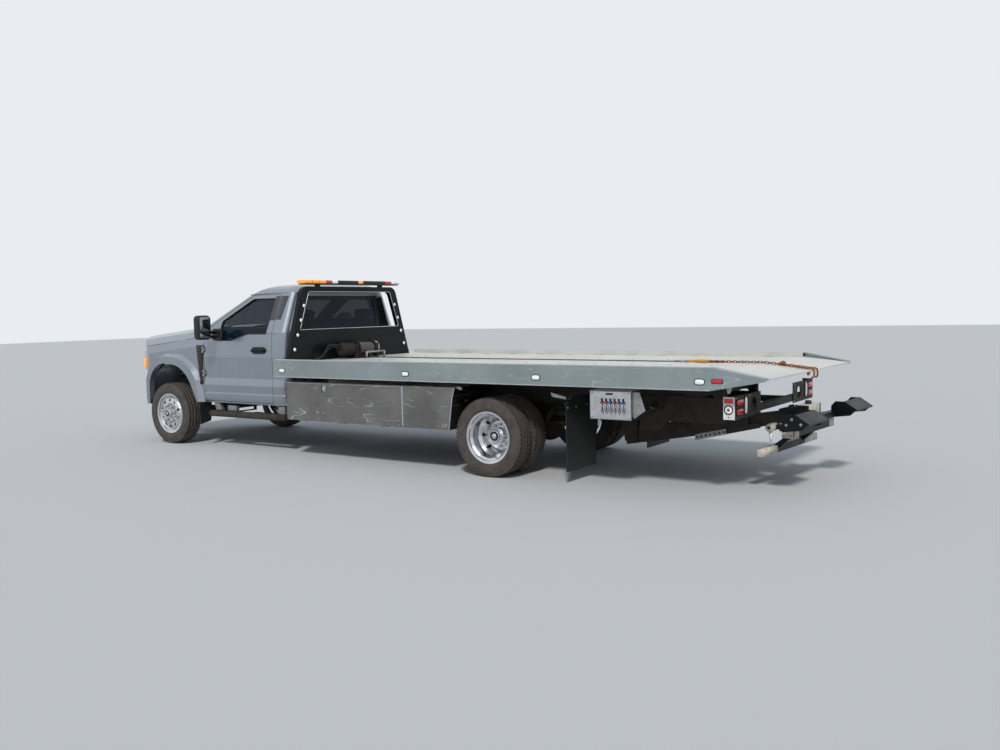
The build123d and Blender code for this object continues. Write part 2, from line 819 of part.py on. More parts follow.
def flare_outline(shrink):
    # The flare's outer edge; shrink pulls it towards the arch.
    return [
        Line((500 - shrink, 790), (500 - shrink, 830)),
        ThreePointArc((500 - shrink, 830), (345 - 0.7 * shrink, 1080 - 0.7 * shrink),
                      (-50, 1190 - shrink)),
        ThreePointArc((-50, 1190 - shrink), (-440 + 0.6 * shrink, 1088 - 0.8 * shrink),
                      (-632 + shrink, 850)),
        Line((-632 + shrink, 850), (-688 + shrink, 572)),
        Line((-688 + shrink, 572), (500 - shrink, 572)),
        Line((500 - shrink, 572), (500 - shrink, 790)),
    ]


flare_y = cab_half_width + 60
arch_depth = flare_y - 480 + 100
arch_face = make_face(Plane.XZ * Wire(arch_inner))
arch_space = Pos(0, 480, 0) * extrude(arch_face, amount=arch_depth, dir=(0, 1, 0))
wide = Pos(0, cab_half_width - 12, 0) * make_face(Plane.XZ * Wire(flare_outline(0)))
narrow = Pos(0, flare_y, 0) * make_face(Plane.XZ * Wire(flare_outline(52)))
flare = loft([wide, narrow], ruled=True) - arch_space
clip_outer = clip_form(0) + both_sides(flare)
cab_keepout = greenhouse(-8)
belt_level = greenhouse_levels[0]
cab_keepout += Pos(0, 0, -8) * extrude(level_section(*belt_level, -8), amount=10)
clip_shell = clip_outer - clip_form(clip_wall) - both_sides(arch_space) - cab_keepout
seam_nose_z = 1222
seam_cab_z = 1412
seam_span = (-720, nose_x + 100)


def hood_seam_z(x):
    # Height of the hood's lower edge, which falls steadily towards the nose.
    share = (x - seam_span[0]) / (seam_span[1] - seam_span[0])
    return seam_cab_z + (seam_nose_z - seam_cab_z) * share


hood_split = [
    (seam_span[1], seam_nose_z),
    (seam_span[0], seam_cab_z),
    (seam_span[0], 1700),
    (seam_span[1], 1700),
]
hood_side = side_slab(hood_split, -outside_y, outside_y)
gap_outline = [(x, z - (panel_gap if z < 1500 else 0)) for x, z in hood_split]
hood_gap_side = side_slab(gap_outline, -outside_y, outside_y)


def below_belt(inset):
    # What lies straight under the greenhouse's foot: it stays with the fenders.
    return Pos(0, 0, -208) * extrude(level_section(*belt_level, inset), amount=200)


hood = clip_shell & (hood_side - below_belt(-8 - panel_gap))
clip = clip_shell - (hood_gap_side - below_belt(-8))
grille_half_width = cab_half_width - 412
grille_low_z = 850
grille_high_z = 1180
lamp_low_z = 960
lamp_high_z = 1205
grille_cut = box(500, nose_x + 20, -grille_half_width, grille_half_width, grille_low_z, grille_high_z)
lamp_back_x = 628
lamp_inner_y = grille_half_width + 30
lamp_cut = box(lamp_back_x, nose_x + 20, lamp_inner_y, cab_half_width + 5, lamp_low_z, lamp_high_z)
nose_skin = clip_form(3) - clip_form(clip_wall + 24)
grille_zone = box(500, nose_x + 20, -grille_half_width + running_gap, grille_half_width - running_gap,
                  grille_low_z + running_gap, grille_high_z - running_gap)
lamp_zone = box(lamp_back_x + running_gap, nose_x + 20, lamp_inner_y + running_gap, cab_half_width + 5,
                lamp_low_z + running_gap, lamp_high_z - running_gap)
clip = clip - grille_cut - both_sides(lamp_cut)
grille = nose_skin & grille_zone
grille_bars = 5
bar_space = (grille_high_z - grille_low_z) / grille_bars
for bar in range(grille_bars):
    low = grille_low_z + bar * bar_space + 16
    slot = box(400, nose_x + 20, 28, grille_half_width - 24, low, low + bar_space - 32)
    grille -= slot
    grille -= other_side(slot)
headlamps = both_sides(nose_skin & lamp_zone)
wheel_house_wall = 6
liner_inner_y = 578
liner_outer_y = cab_half_width - 18
liner = rod_y(-55, 505, 556, liner_inner_y, liner_outer_y)
liner -= rod_y(-55, 505, 556 - wheel_house_wall, liner_inner_y - 5, liner_outer_y + 5)
liner = liner & box(-700, 520, 560, cab_half_width - clip_wall + 3, 560, 1100)
clip += both_sides(liner)
# Radiator support across the nose, standing on the frame rails
support_x = frame_front_x - 120
support = box(support_x - 20, support_x + 20, -brow_y, brow_y, 795, 855)
for leg_low in (-frame_half_width, frame_inner_y):
    support += box(support_x - 20, support_x + 20, leg_low, leg_low + frame_rail_width, 691.3, 800)
clip += support
# Hood stops: short ledges inside the seam that the hood rests on
stop_xs = [-420, 200, 640]
ledge_skin = clip_form(clip_wall / 2) - clip_form(clip_wall)
for x in stop_xs:
    seam = [(x - 25, hood_seam_z(x - 25)), (x + 25, hood_seam_z(x + 25))]
    top = [(across, z - running_gap) for across, z in seam]
    low = [(across, z - panel_gap - 10) for across, z in reversed(seam)]
    clip += ledge_skin & side_slab(top + low, -outside_y, outside_y)
clip += both_sides(hinge_barrels)
keep("hood", hood)
keep("front_clip", clip)
keep("grille", grille)
keep("headlamps", headlamps)
# The cab's front wall stays inside the front clip's walls
cowl = box(door_front_x - 2, cab_front_x + 5, -outside_y, outside_y, 500, belt_z)
pieces["cab_shell"] = pieces["cab_shell"] - (cowl - clip_form(clip_wall + panel_gap))

# Front bumper, wrapped round the nose
bumper_low_z = 500
bumper_high_z = 784
bumper_end_y = cab_half_width - 27
bend_out_y = cab_half_width - 132
bend_in_y = cab_half_width - 272
bumper_edges = [
    ThreePointArc((560, bumper_end_y), (700, bend_out_y), (790, bend_in_y)),
    ThreePointArc((790, bend_in_y), (bumper_x, 0), (790, -bend_in_y)),
    ThreePointArc((790, -bend_in_y), (700, -bend_out_y), (560, -bumper_end_y)),
    Line((560, -bumper_end_y), (500, -bumper_end_y)),
    Line((500, -bumper_end_y), (500, 55 - bumper_end_y)),
    ThreePointArc((500, 55 - bumper_end_y), (640, 30 - bend_out_y), (730, 40 - bend_in_y)),
    ThreePointArc((730, 40 - bend_in_y), (890, 0), (730, bend_in_y - 40)),
    ThreePointArc((730, bend_in_y - 40), (640, bend_out_y - 30), (500, bumper_end_y - 55)),
    Line((500, bumper_end_y - 55), (500, bumper_end_y)),
    Line((500, bumper_end_y), (560, bumper_end_y)),
]
bumper = Pos(0, 0, bumper_low_z) * extrude(make_face(bumper_edges), amount=bumper_high_z - bumper_low_z)
bumper -= box(800, 1000, -330, 330, 545, 625)
for side in (-1, 1):
    horn_low = min(side * frame_inner_y, side * frame_half_width)
    bumper += box(frame_front_x, 900, horn_low, horn_low + frame_rail_width, 560, 660)
keep("front_bumper", bumper)

# Side steps: a tube under each door on two arms from the frame
step_y = cab_half_width - 27
step_z = 432
step_radius = 30
step_front_x = cab_front_x - 117
step_back_x = cab_back_x + 18
step = rod_x(step_y, step_z, step_radius, step_back_x, step_front_x)
for x in (step_front_x - 200, step_back_x + 200):
    arm = box(x - 25, x + 25, frame_half_width, step_y, step_z - 6, step_z + 6)
    hanger = box(x - 25, x + 25, frame_half_width, frame_half_width + 10, step_z - 6, frame_low_z + 60)
    step += arm + hanger
keep("side_steps", both_sides(step))

# Mud guards behind the front wheels, hung from the cab's sill
guard_x = -655
guard_low_z = 288
guard_outline = [
    (cab_half_width - 118, cab_low_z - running_gap),
    (cab_half_width - 118, guard_low_z + 130),
    (cab_half_width - 94, guard_low_z + 34),
    (cab_half_width + 62, guard_low_z),
    (cab_half_width + 72, cab_low_z - 30),
    (cab_half_width + 40, cab_low_z - running_gap),
]
guard = front_slab(guard_outline, guard_x - 8, guard_x)
guard += box(guard_x - 40, guard_x, cab_half_width - 118, cab_half_width - 30, 556,
             cab_low_z - running_gap)
keep("front_mudflaps", both_sides(guard))

# Toolboxes with drop-down doors
toolbox_face_y = bed_half_width - 95
toolbox_inner_y = box_bracket_y
toolbox_low_z = 450
toolbox_high_z = 890
toolbox_front_x = bed_front_x - 100
toolbox_door_back_x = -4140
toolbox_back_low_x = -4750
toolbox_back_high_x = -4830
toolbox_wall = 12
toolbox_door_wall = 24
lid_margin = 14
toolbox_outline = [
    (toolbox_front_x, toolbox_low_z),
    (toolbox_front_x, toolbox_high_z),
    (toolbox_back_high_x, toolbox_high_z),
    (toolbox_back_high_x + 30, 783),
    (toolbox_back_low_x, toolbox_low_z),
]
toolbox = side_slab(toolbox_outline, toolbox_inner_y, toolbox_face_y)
inside_outline = [
    (toolbox_front_x - toolbox_wall, toolbox_low_z + toolbox_wall),
    (toolbox_front_x - toolbox_wall, toolbox_high_z - toolbox_wall),
    (toolbox_back_high_x + toolbox_wall + 4, toolbox_high_z - toolbox_wall),
    (toolbox_back_low_x + toolbox_wall, toolbox_low_z + toolbox_wall),
]
toolbox -= side_slab(inside_outline, toolbox_inner_y + toolbox_wall, toolbox_face_y - toolbox_wall)
mouth = box(toolbox_door_back_x + lid_margin, toolbox_front_x - lid_margin, toolbox_face_y - 60,
            toolbox_face_y + 5, toolbox_low_z + lid_margin, toolbox_high_z - lid_margin)
recess = box(toolbox_door_back_x + 4, toolbox_front_x + 5, toolbox_face_y - toolbox_door_wall - running_gap,
             toolbox_face_y + 5, toolbox_low_z - 5, toolbox_high_z - 6)
toolbox_door = box(toolbox_door_back_x + 10, toolbox_front_x, toolbox_face_y - toolbox_door_wall,
                   toolbox_face_y, toolbox_low_z, toolbox_high_z - 12)
latch_x = -2990
toolbox_door -= box(latch_x - 38, latch_x + 38, toolbox_face_y - 10, toolbox_face_y + 5, 780, 862)
toolbox_door += box(latch_x - 26, latch_x + 26, toolbox_face_y - 12, toolbox_face_y - 3, 792, 850)
# Toolbox hinges: a barrel on the door between two barrels on a leaf under the box
lid_pin_radius = 7
lid_middle_x = (toolbox_front_x + toolbox_door_back_x) / 2
lid_hinge_xs = [toolbox_front_x - 260, lid_middle_x, toolbox_door_back_x + 260]
lid_leaf_half = 60
lid_knuckle_half = 22
box_body = toolbox - mouth - recess


def lid_rod(x, radius, half_length):
    # A round bar on the toolbox door's hinge line.
    return rod_x(toolbox_face_y, toolbox_low_z, radius, x - half_length, x + half_length)


for x in lid_hinge_xs:
    leaf = box(x - lid_leaf_half, x + lid_leaf_half, toolbox_face_y - 60, toolbox_face_y,
               toolbox_low_z - 3, toolbox_low_z - running_gap)
    leaf += box(x - lid_leaf_half, x + lid_leaf_half, toolbox_face_y - 60, toolbox_face_y - 40,
                toolbox_low_z - 3, toolbox_low_z + 5)
    barrel = lid_rod(x, lid_pin_radius, lid_leaf_half)
    middle = lid_rod(x, lid_pin_radius + 8, lid_knuckle_half)
    box_body += (leaf + barrel) - middle
    relief = lid_rod(x, lid_pin_radius + 1, lid_leaf_half + 2)
    toolbox_door -= relief - middle
    toolbox_door += lid_rod(x, lid_pin_radius, lid_knuckle_half - running_gap)
keep_pair("toolbox", box_body)
keep_pair("toolbox_door", toolbox_door)

# Control boxes with their levers, on arms from the frame
control_front_x = hinge_x + 950
control_back_x = hinge_x + 530
control_low_z = 650
control_high_z = 915
control_face_y = bed_half_width - 83
control_depth = 190
lever_count = 6
control = box(control_back_x, control_front_x, control_face_y - control_depth, control_face_y,
              control_low_z, control_high_z)
control -= box(control_back_x + 15, control_front_x - 15, control_face_y - 12, control_face_y + 5,
               control_low_z + 15, control_high_z - 40)
for lever in range(lever_count):
    x = control_front_x - 125 - lever * 43
    control += box(x - 5, x + 5, control_face_y - 20, control_face_y + 8, 735, 815)
for x in (control_back_x + 130, control_front_x - 60):
    control += box(x - 20, x + 20, frame_half_width, control_face_y - control_depth + 5, 690, 740)
keep("control_boxes", both_sides(control))

# Rear mud flaps on their brackets
flap_x = rear_axle_x - 885
flap_outer_y = bed_half_width - 147
flap_inner_y = flap_outer_y - 563
flap_low_z = 120
flap_high_z = 835
flap_outline = [
    (flap_inner_y, flap_low_z),
    (flap_outer_y, flap_low_z),
    (flap_outer_y, flap_high_z - 135),
    (flap_outer_y - 126, flap_high_z),
    (flap_inner_y, flap_high_z),
]
flap = front_slab(flap_outline, flap_x - 10, flap_x)
flap += box(flap_x, flap_x + 12, frame_half_width, flap_outer_y - 120, 770, 815)
keep("rear_mudflaps", both_sides(flap))

# Tail lamp brackets: a beam behind the frame carries a lamp plate and a marker plate on each side
tail_plate_x = hinge_x - 380
tail_plate_wall = 8
tail_outer_y = bed_half_width - 185
tail_inner_y = tail_outer_y - 640
tail_low_z = 688
tail_high_z = 886
tail_beam_low_z = 705
tail_beam_high_z = 765
marker_plate_depth = 104
oval_lamp_length = 165
oval_lamp_width = 57
lamp_grommet = 4
lamp_front_x = tail_plate_x + 14
tail_beam = box(tail_plate_x, tail_plate_x + 60, -tail_outer_y + 90, tail_outer_y - 90, tail_beam_low_z,
                tail_beam_high_z)
plate = box(tail_plate_x - tail_plate_wall, tail_plate_x, tail_inner_y, tail_outer_y, tail_low_z,
            tail_high_z)
side_plate = box(tail_plate_x - tail_plate_wall, tail_plate_x + marker_plate_depth - tail_plate_wall,
                 tail_outer_y - tail_plate_wall, tail_outer_y, tail_low_z, tail_high_z)
arm_outer_y = frame_half_width - rail_wall - running_gap
tail_arm = box(tail_plate_x, frame_end_x + 60, frame_inner_y + 5, arm_outer_y, tail_beam_low_z,
               tail_beam_high_z)
# Stop and turn lamps lie flat one above the other, with an upright clear lamp beside them
flat_lamp_y = tail_outer_y - 108
clear_lamp_y = tail_outer_y - 246
flat_lamp_zs = [753, 834]
clear_lamp_z = 796
hole_y = tail_outer_y - 470
tail_mid_z = (tail_low_z + tail_high_z) / 2


def oval_lamp(y, z, upright, grow, low, high):
    # An oval lamp's body, carried along X between two places.
    turn = 90 if upright else 0
    outline = SlotOverall(oval_lamp_length + 2 * grow, oval_lamp_width + 2 * grow)
    face = Plane(origin=(low, y, z), x_dir=(0, 1, 0), z_dir=(1, 0, 0)) * Rot(0, 0, turn) * outline
    return extrude(face, amount=high - low, dir=(1, 0, 0))


lamp_places = [(flat_lamp_y, flat_lamp_zs[0], False), (flat_lamp_y, flat_lamp_zs[1], False)]
lamp_places.append((clear_lamp_y, clear_lamp_z, True))
tail_lamps = []
for y, z, upright in lamp_places:
    plate -= oval_lamp(y, z, upright, 0, tail_plate_x - 20, tail_plate_x + 20)
    tail_lamps.append(oval_lamp(y, z, upright, -running_gap, tail_plate_x - 20, lamp_front_x))
    tail_lamps.append(oval_lamp(y, z, upright, lamp_grommet, tail_plate_x + running_gap, lamp_front_x))
beam_relief = box(tail_plate_x - 5, lamp_front_x + 2, clear_lamp_y - 40, tail_outer_y,
                  tail_beam_low_z - 5, tail_beam_high_z + 5)
plate -= rod_x(hole_y, tail_mid_z, 62, tail_plate_x - 20, tail_plate_x + 90)
keep("tail_panel", tail_beam - both_sides(beam_relief) + both_sides(plate + side_plate + tail_arm))
keep("tail_lamps", both_sides(Part() + tail_lamps))

# Lift mount: hanger plates on the rails, cheeks for the lift's pivot and the tilt cylinders' base
hanger_wall = 12
hanger_outline = [
    (hinge_x + 345, frame_top_z + 15),
    (hinge_x + 520, frame_top_z + 15),
    (hinge_x + 540, 720),
    (hinge_x + 830, 560),
    (hinge_x + 830, 470),
    (hinge_x + 620, 470),
    (hinge_x + 400, 700),
]
mount = both_sides(side_slab(hanger_outline, frame_half_width, frame_half_width + hanger_wall))
mount += rod_y(hinge_x + 730, 535, 22, -frame_half_width - hanger_wall, frame_half_width + hanger_wall)
cheek_low_y = boom_half_width + running_gap
cheek_high_y = cheek_low_y + lift_cheek_wall
cheek_outline = [
    (lift_pivot_x - 60, 620),
    (lift_pivot_x + 140, 620),
    (lift_pivot_x + 70, lift_pivot_z - 50),
    (lift_pivot_x, lift_pivot_z - 70),
    (lift_pivot_x - 70, lift_pivot_z - 50),
]
cheek = side_slab(cheek_outline, cheek_low_y, cheek_high_y)
mount += both_sides(cheek)
mount += rod_y(lift_pivot_x, lift_pivot_z, lift_pin_radius, -cheek_high_y - 10, cheek_high_y + 10)
frame_web_y = frame_half_width - rail_wall
mount += box(lift_pivot_x - 60, lift_pivot_x + 140, -frame_web_y, frame_web_y, 575, 630)
for edge in (ram_y - 64, ram_y + 46):
    ear = side_slab([
        (ram_base_x - 90, 640),
        (ram_base_x + 90, 640),
        (ram_base_x + 40, ram_base_z - 40),
        (ram_base_x - 40, ram_base_z - 40),
    ], edge, edge + 18)
    mount += both_sides(ear)
mount += both_sides(rod_y(ram_base_x, ram_base_z, ram_pin_radius, ram_y - 66, ram_y + 66))
mount += box(ram_base_x + 40, ram_base_x + 90, -frame_web_y, frame_web_y, 600, 655)
keep("lift_mount", mount)

# Tilt frame: two beams over the chassis rails, with cross tubes and hinge lugs
tilt_beam_high_z = 930
tilt_front_x = bed_front_x - 160
tilt_back_x = hinge_x - 45
beam = box(tilt_back_x, tilt_front_x, frame_inner_y, frame_half_width, tilt_beam_low_z, tilt_beam_high_z)
beam -= box(tilt_back_x - 5, tilt_front_x + 5, frame_inner_y - 5, frame_half_width - rail_wall,
            tilt_beam_low_z + rail_wall, tilt_beam_high_z - rail_wall)
lug = side_slab([
    (hinge_x - 40, hinge_z),
    (hinge_x - 40, tilt_beam_high_z - 10),
    (hinge_x + 110, tilt_beam_high_z - 10),
    (hinge_x + 40, hinge_z),
], tilt_lug_y, tilt_lug_y + tilt_lug_wall)
lug += rod_y(hinge_x, hinge_z, 42, tilt_lug_y, tilt_lug_y + tilt_lug_wall)
lug += box(hinge_x - 40, hinge_x + 60, frame_half_width - 5, tilt_lug_y + 5, tilt_beam_low_z + 10,
           tilt_beam_high_z - 10)
lug -= rod_y(hinge_x, hinge_z, tilt_pin_radius + bearing_gap, frame_half_width - 5, 600)
tilt = both_sides(beam + lug)
for x in (tilt_front_x - 60, -3600, -4700, ram_eye_x, hinge_x + 60):
    tilt += box(x - 40, x + 40, -frame_half_width + 5, frame_half_width - 5, tilt_beam_low_z + 12,
                tilt_beam_high_z - 0.5)
eye_clearance = 16
for edge in (ram_y - 56, ram_y + 38):
    ear = side_slab([
        (ram_eye_x - 55, tilt_beam_high_z - 20),
        (ram_eye_x + 55, tilt_beam_high_z - 20),
        (ram_eye_x + 55, ram_eye_z - 30),
        (ram_eye_x, ram_eye_z - 55),
        (ram_eye_x - 55, ram_eye_z - 30),
    ], edge, edge + 18)
    tilt += both_sides(ear)
slot_space = box(ram_eye_x - 60, ram_eye_x + 60, ram_y - 38, ram_y + 38, tilt_beam_low_z - 40,
                 ram_eye_z + ram_eye_radius + eye_clearance + 4)
eye_hole = rod_y(ram_eye_x, ram_eye_z, ram_pin_radius + eye_clearance, ram_y - 70, ram_y + 70)
tilt = tilt - both_sides(slot_space) - both_sides(eye_hole)
keep("tilt_frame", tilt)

# Tilt cylinders
ram_run = Vector(ram_eye_x - ram_base_x, 0, ram_eye_z - ram_base_z)
ram_length = ram_run.length
ram_plane = Plane(origin=(ram_base_x, ram_y, ram_base_z), z_dir=ram_run)


def ram_tube(radius, low, high):
    return ram_plane * Pos(0, 0, (low + high) / 2) * Cylinder(radius, high - low)


barrel = ram_tube(ram_barrel_radius, 35, ram_gland)
barrel += rod_y(ram_base_x, ram_base_z, 38, ram_y - 45.7, ram_y + 45.7)
barrel -= rod_y(ram_base_x, ram_base_z, ram_pin_radius + bearing_gap, ram_y - 50, ram_y + 50)
barrel -= ram_tube(ram_rod_radius + bearing_gap, 70, ram_gland + 10)
keep("tilt_barrels", both_sides(barrel))
rod = ram_tube(ram_rod_radius, 80, ram_length - 20)
rod += rod_y(ram_eye_x, ram_eye_z, ram_eye_radius, ram_y - 28, ram_y + 28)
rod += rod_y(ram_eye_x, ram_eye_z, ram_pin_radius, ram_y - 60, ram_y + 60)
keep("tilt_rods", both_sides(rod))

# Bed: deck on two sills and cross channels
deck_top_z = 1104
deck_wall = 8
deck_break_x = bed_tail_x + 450
tail_top_z = 1052
tail_edge = 12
sill_low_z = tilt_beam_high_z + running_gap
rail_web = 10
rail_low_z = bed_top_z - bed_rail_height
rail_break_x = bed_tail_x + 490
rail_inside_y = bed_half_width - rail_web
deck_outline = [
    (bed_front_x, deck_top_z),
    (deck_break_x, deck_top_z),
    (bed_tail_x, tail_top_z),
    (bed_tail_x, tail_top_z - tail_edge),
    (deck_break_x, deck_top_z - deck_wall),
    (bed_front_x, deck_top_z - deck_wall),
]
deck = side_slab(deck_outline, -rail_inside_y, rail_inside_y)
sill_back_x = deck_break_x - 80
deck_low_z = deck_top_z - deck_wall
deck_fall = (deck_low_z - tail_top_z + tail_edge) / (deck_break_x - bed_tail_x)
sill_outline = [
    (bed_front_x, sill_low_z),
    (bed_front_x, deck_low_z),
    (deck_break_x, deck_low_z),
    (sill_back_x, deck_low_z - 80 * deck_fall),
    (sill_back_x, sill_low_z + 60),
    (sill_back_x + 110, sill_low_z),
]
sill = side_slab(sill_outline, frame_inner_y + 4, frame_half_width - 4)
deck += both_sides(sill)
joist_pitch = 406
joist_count = int((bed_length - 600) / joist_pitch) + 1
joist_low_z = 1010
for joist in range(joist_count):
    x = bed_front_x - 40 - joist * joist_pitch
    deck += box(x - 25, x + 25, -rail_inside_y, rail_inside_y, joist_low_z, deck_low_z)
keep("bed_deck", deck)

# Bed side rails: a web with top and bottom flanges, tapering to the tail
rail_outline_side = [
    (bed_front_x, rail_low_z),
    (bed_front_x, bed_top_z),
    (deck_break_x, bed_top_z),
    (bed_tail_x, tail_top_z + 12),
    (bed_tail_x, tail_top_z - tail_edge - 4),
    (rail_break_x, rail_low_z),
]
flange_width = 60
rail = side_slab(rail_outline_side, rail_inside_y, bed_half_width)
rail += box(deck_break_x, bed_front_x, bed_half_width - flange_width, bed_half_width, bed_top_z - rail_web,
            bed_top_z)
rail += side_slab([
    (deck_break_x, bed_top_z),
    (bed_tail_x, tail_top_z + 12),
    (bed_tail_x, tail_top_z + running_gap),
    (deck_break_x, bed_top_z - rail_web),
], bed_half_width - flange_width, bed_half_width)
rail += box(rail_break_x, bed_front_x, bed_half_width - flange_width, bed_half_width, rail_low_z,
            rail_low_z + rail_web)
keep("bed_rails", both_sides(rail))

# Marker lamps on the rails: oval lamps, and a square one at the tail
oval_lamp_xs = [bed_front_x - 140, bed_front_x - 1980, bed_front_x - 3580, bed_front_x - 5210]
oval_z = 1022
oval = SlotOverall(86, 42)
lamp_proud = 8
markers = []
for x in oval_lamp_xs:
    face = Plane(origin=(x, bed_half_width, oval_z), x_dir=(1, 0, 0), z_dir=(0, 1, 0)) * oval
    markers.append(extrude(face, amount=lamp_proud, dir=(0, 1, 0)))
markers.append(box(bed_front_x - 5400, bed_front_x - 5300, bed_half_width, bed_half_width + lamp_proud,
                   1010, 1050))
board_back_x = bed_front_x - 30
pillar_lamps = [(987, 1248), (932, 1417), (872, 1591), (816, 1763)]
for y, z in pillar_lamps:
    markers.append(rod_x(y, z, 24, board_back_x - lamp_proud, board_back_x))
keep("marker_lamps", both_sides(Part() + markers))

# Headboard: tapered frame with rounded shoulders, closed below, open above
board_depth = 55
board_top_z = 1992
board_outline = [
    (1098, deck_top_z),
    (829, board_top_z),
    (-829, board_top_z),
    (-1098, deck_top_z),
]
board_window = [
    (887, 1478),
    (728, 1930),
    (-728, 1930),
    (-887, 1478),
]
board = front_slab(board_outline, board_back_x, board_back_x + board_depth, rounding=[0, 120, 120, 0])
board -= front_slab(board_window, board_back_x - 5, board_back_x + board_depth + 5,
                    rounding=[12, 90, 90, 12])
pocket = [
    (938, deck_top_z + 25),
    (878, 1455),
    (-878, 1455),
    (-938, deck_top_z + 25),
]
board -= front_slab(pocket, board_back_x + 8, board_back_x + board_depth + 5)
keep("headboard", board)

# Light bar on two feet
bar_low_z = 2012
bar_high_z = 2066
bar_half_length = 855
bar_middle_x = board_back_x - 5
light_bar = box(bar_middle_x - 75, bar_middle_x + 75, -bar_half_length, bar_half_length, bar_low_z,
                bar_high_z)
light_bar = fillet(light_bar.edges().filter_by(Axis.Y), 18)
for side in (-1, 1):
    foot_y = side * 560
    light_bar += box(bar_middle_x, bar_middle_x + 50, foot_y - 30, foot_y + 30, board_top_z, bar_low_z)
keep("light_bar", light_bar)

# Winch on the deck behind the headboard, with its rope and chains to the tail
winch_x = board_back_x - 170
drum_radius = 62
winch_z = deck_top_z + 120
winch = rod_y(winch_x, winch_z, drum_radius, -150, 150)
for y in (-150, 138):
    winch += rod_y(winch_x, winch_z, 105, y, y + 12)
for y in (-190, 170):
    winch += box(winch_x - 90, winch_x + 90, y, y + 20, deck_top_z, winch_z + 60)
winch += rod_y(winch_x, winch_z, 30, -190, 190)
winch += rod_y(winch_x, winch_z, 70, 190, 400)
winch += box(winch_x - 90, winch_x + 90, -190, 190, deck_top_z, deck_top_z + 14)
keep("winch", winch)

# The rope leads to a hook, and its chain runs on down the slope to the tail in two legs
rope_radius = 6
chain_radius = 9
chain_lift = chain_radius + 1
hook_eye_x = bed_tail_x + 1240
hook_length = 240
hook_width = 62
hook_height = 22
hook_bite_radius = 17
chain_knot_x = bed_tail_x + 290
chain_end_x = bed_tail_x + 40
chain_end_y = 45
rope_z = deck_top_z + rope_radius + 3
deck_slope = (deck_top_z - tail_top_z) / (deck_break_x - bed_tail_x)


def over_deck(x, y, height):
    # A place above the deck or, behind its break, above the slope.
    return (x, y, deck_top_z - max(0, deck_break_x - x) * deck_slope + height)


def round_bar(start, end, radius):
    # A round bar from one place to another.
    along = Vector(*end) - Vector(*start)
    return Plane(origin=start, z_dir=along) * Pos(0, 0, along.length / 2) * Cylinder(radius, along.length)


lead_x = winch_x - drum_radius - 60
rope = rod_x(0, rope_z, rope_radius, hook_eye_x - 10, lead_x)
lead_end_x = winch_x - drum_radius - rope_radius - running_gap
rope += round_bar((lead_x, 0, rope_z), (lead_end_x, 0, winch_z), rope_radius)
hook_middle_x = hook_eye_x - hook_length / 2
hook_face = SlotOverall(hook_length, hook_width) - Pos(-hook_length / 2 + 45, 0) * Circle(hook_bite_radius)
rope += Pos(hook_middle_x, 0, deck_top_z + running_gap) * extrude(hook_face, amount=hook_height)
chain_start = over_deck(hook_eye_x - hook_length + 20, 0, chain_lift)
chain_break = over_deck(deck_break_x, 0, chain_lift)
rope += round_bar(chain_start, chain_break, chain_radius)
rope += round_bar(chain_break, over_deck(chain_knot_x, 0, chain_lift), chain_radius)
knot_radius = 20
rope += Pos(*over_deck(chain_knot_x, 0, knot_radius + 1)) * Sphere(knot_radius)
for side in (-1, 1):
    leg_start = over_deck(chain_knot_x, side * (chain_radius + 1), chain_lift)
    rope += round_bar(leg_start, over_deck(chain_end_x, side * chain_end_y, chain_lift), chain_radius)
keep("winch_line", rope)

# Lift boom with its pivot bore and slide pads
def lift_bar(low, high, half_height, half_width):
    # A square bar along the lift's middle line.
    return lift_box(low, high, -half_height, half_height, -half_width, half_width)


boom = lift_bar(boom_front, boom_length, boom_half_height, boom_half_width)
boom -= lift_bar(boom_front - 5, boom_length + 5, boom_half_height - boom_wall, boom_half_width - boom_wall)
pad = lift_bar(boom_length - 60, boom_length, boom_half_height, boom_half_width)
pad -= lift_bar(boom_length - 70, boom_length + 10, stinger_half_height + running_gap,
                stinger_half_width + running_gap)
boom += pad
boom -= rod_y(lift_pivot_x, lift_pivot_z, lift_pin_radius + bearing_gap, -200, 200)
keep("lift_boom", boom)

# Inner boom with the crossbar's pivot bore in its end
stinger_end = crossbar_pivot + 60
bar_pin_radius = 25
stinger = lift_bar(stinger_start, stinger_end, stinger_half_height, stinger_half_width)
lift_normal = (math.sin(math.radians(lift_slope)), 0, math.cos(math.radians(lift_slope)))
pivot_point = lift_point(crossbar_pivot)
pivot_plane = Plane(origin=(pivot_point[0], 0, pivot_point[1]), z_dir=lift_normal)
stinger -= pivot_plane * Cylinder(bar_pin_radius + bearing_gap, 300)
keep("lift_stinger", stinger)

# Crossbar on the inner boom: yoke plates, beam, pads and the lower tube
yoke_wall = 26
yoke_half_width = 150
beam_along = crossbar_pivot + 105
beam_depth = 100
beam_half_length = 450
crossbar = lift_box(crossbar_pivot - 60, beam_along + 40, stinger_half_height + running_gap,
                    stinger_half_height + running_gap + yoke_wall, -yoke_half_width, yoke_half_width)
crossbar += lift_box(crossbar_pivot - 60, beam_along + 40, -stinger_half_height - running_gap - yoke_wall,
                     -stinger_half_height - running_gap, -yoke_half_width, yoke_half_width)
bar_pin_length = 2 * (stinger_half_height + running_gap + yoke_wall) + 30
crossbar += pivot_plane * Cylinder(bar_pin_radius, bar_pin_length)
beam_x, beam_z = lift_point(beam_along)
beam_low_z = beam_z - 155
beam_high_z = beam_z - 35
crossbar += box(beam_x - beam_depth, beam_x, -beam_half_length, beam_half_length, beam_low_z, beam_high_z)
crossbar += box(beam_x - beam_depth, beam_x, -yoke_half_width, yoke_half_width, beam_high_z, beam_z + 95)
plate = box(beam_x - beam_depth + 5, beam_x + 5, beam_half_length, beam_half_length + 14, beam_low_z - 5,
            beam_high_z + 5)
crossbar += both_sides(plate)
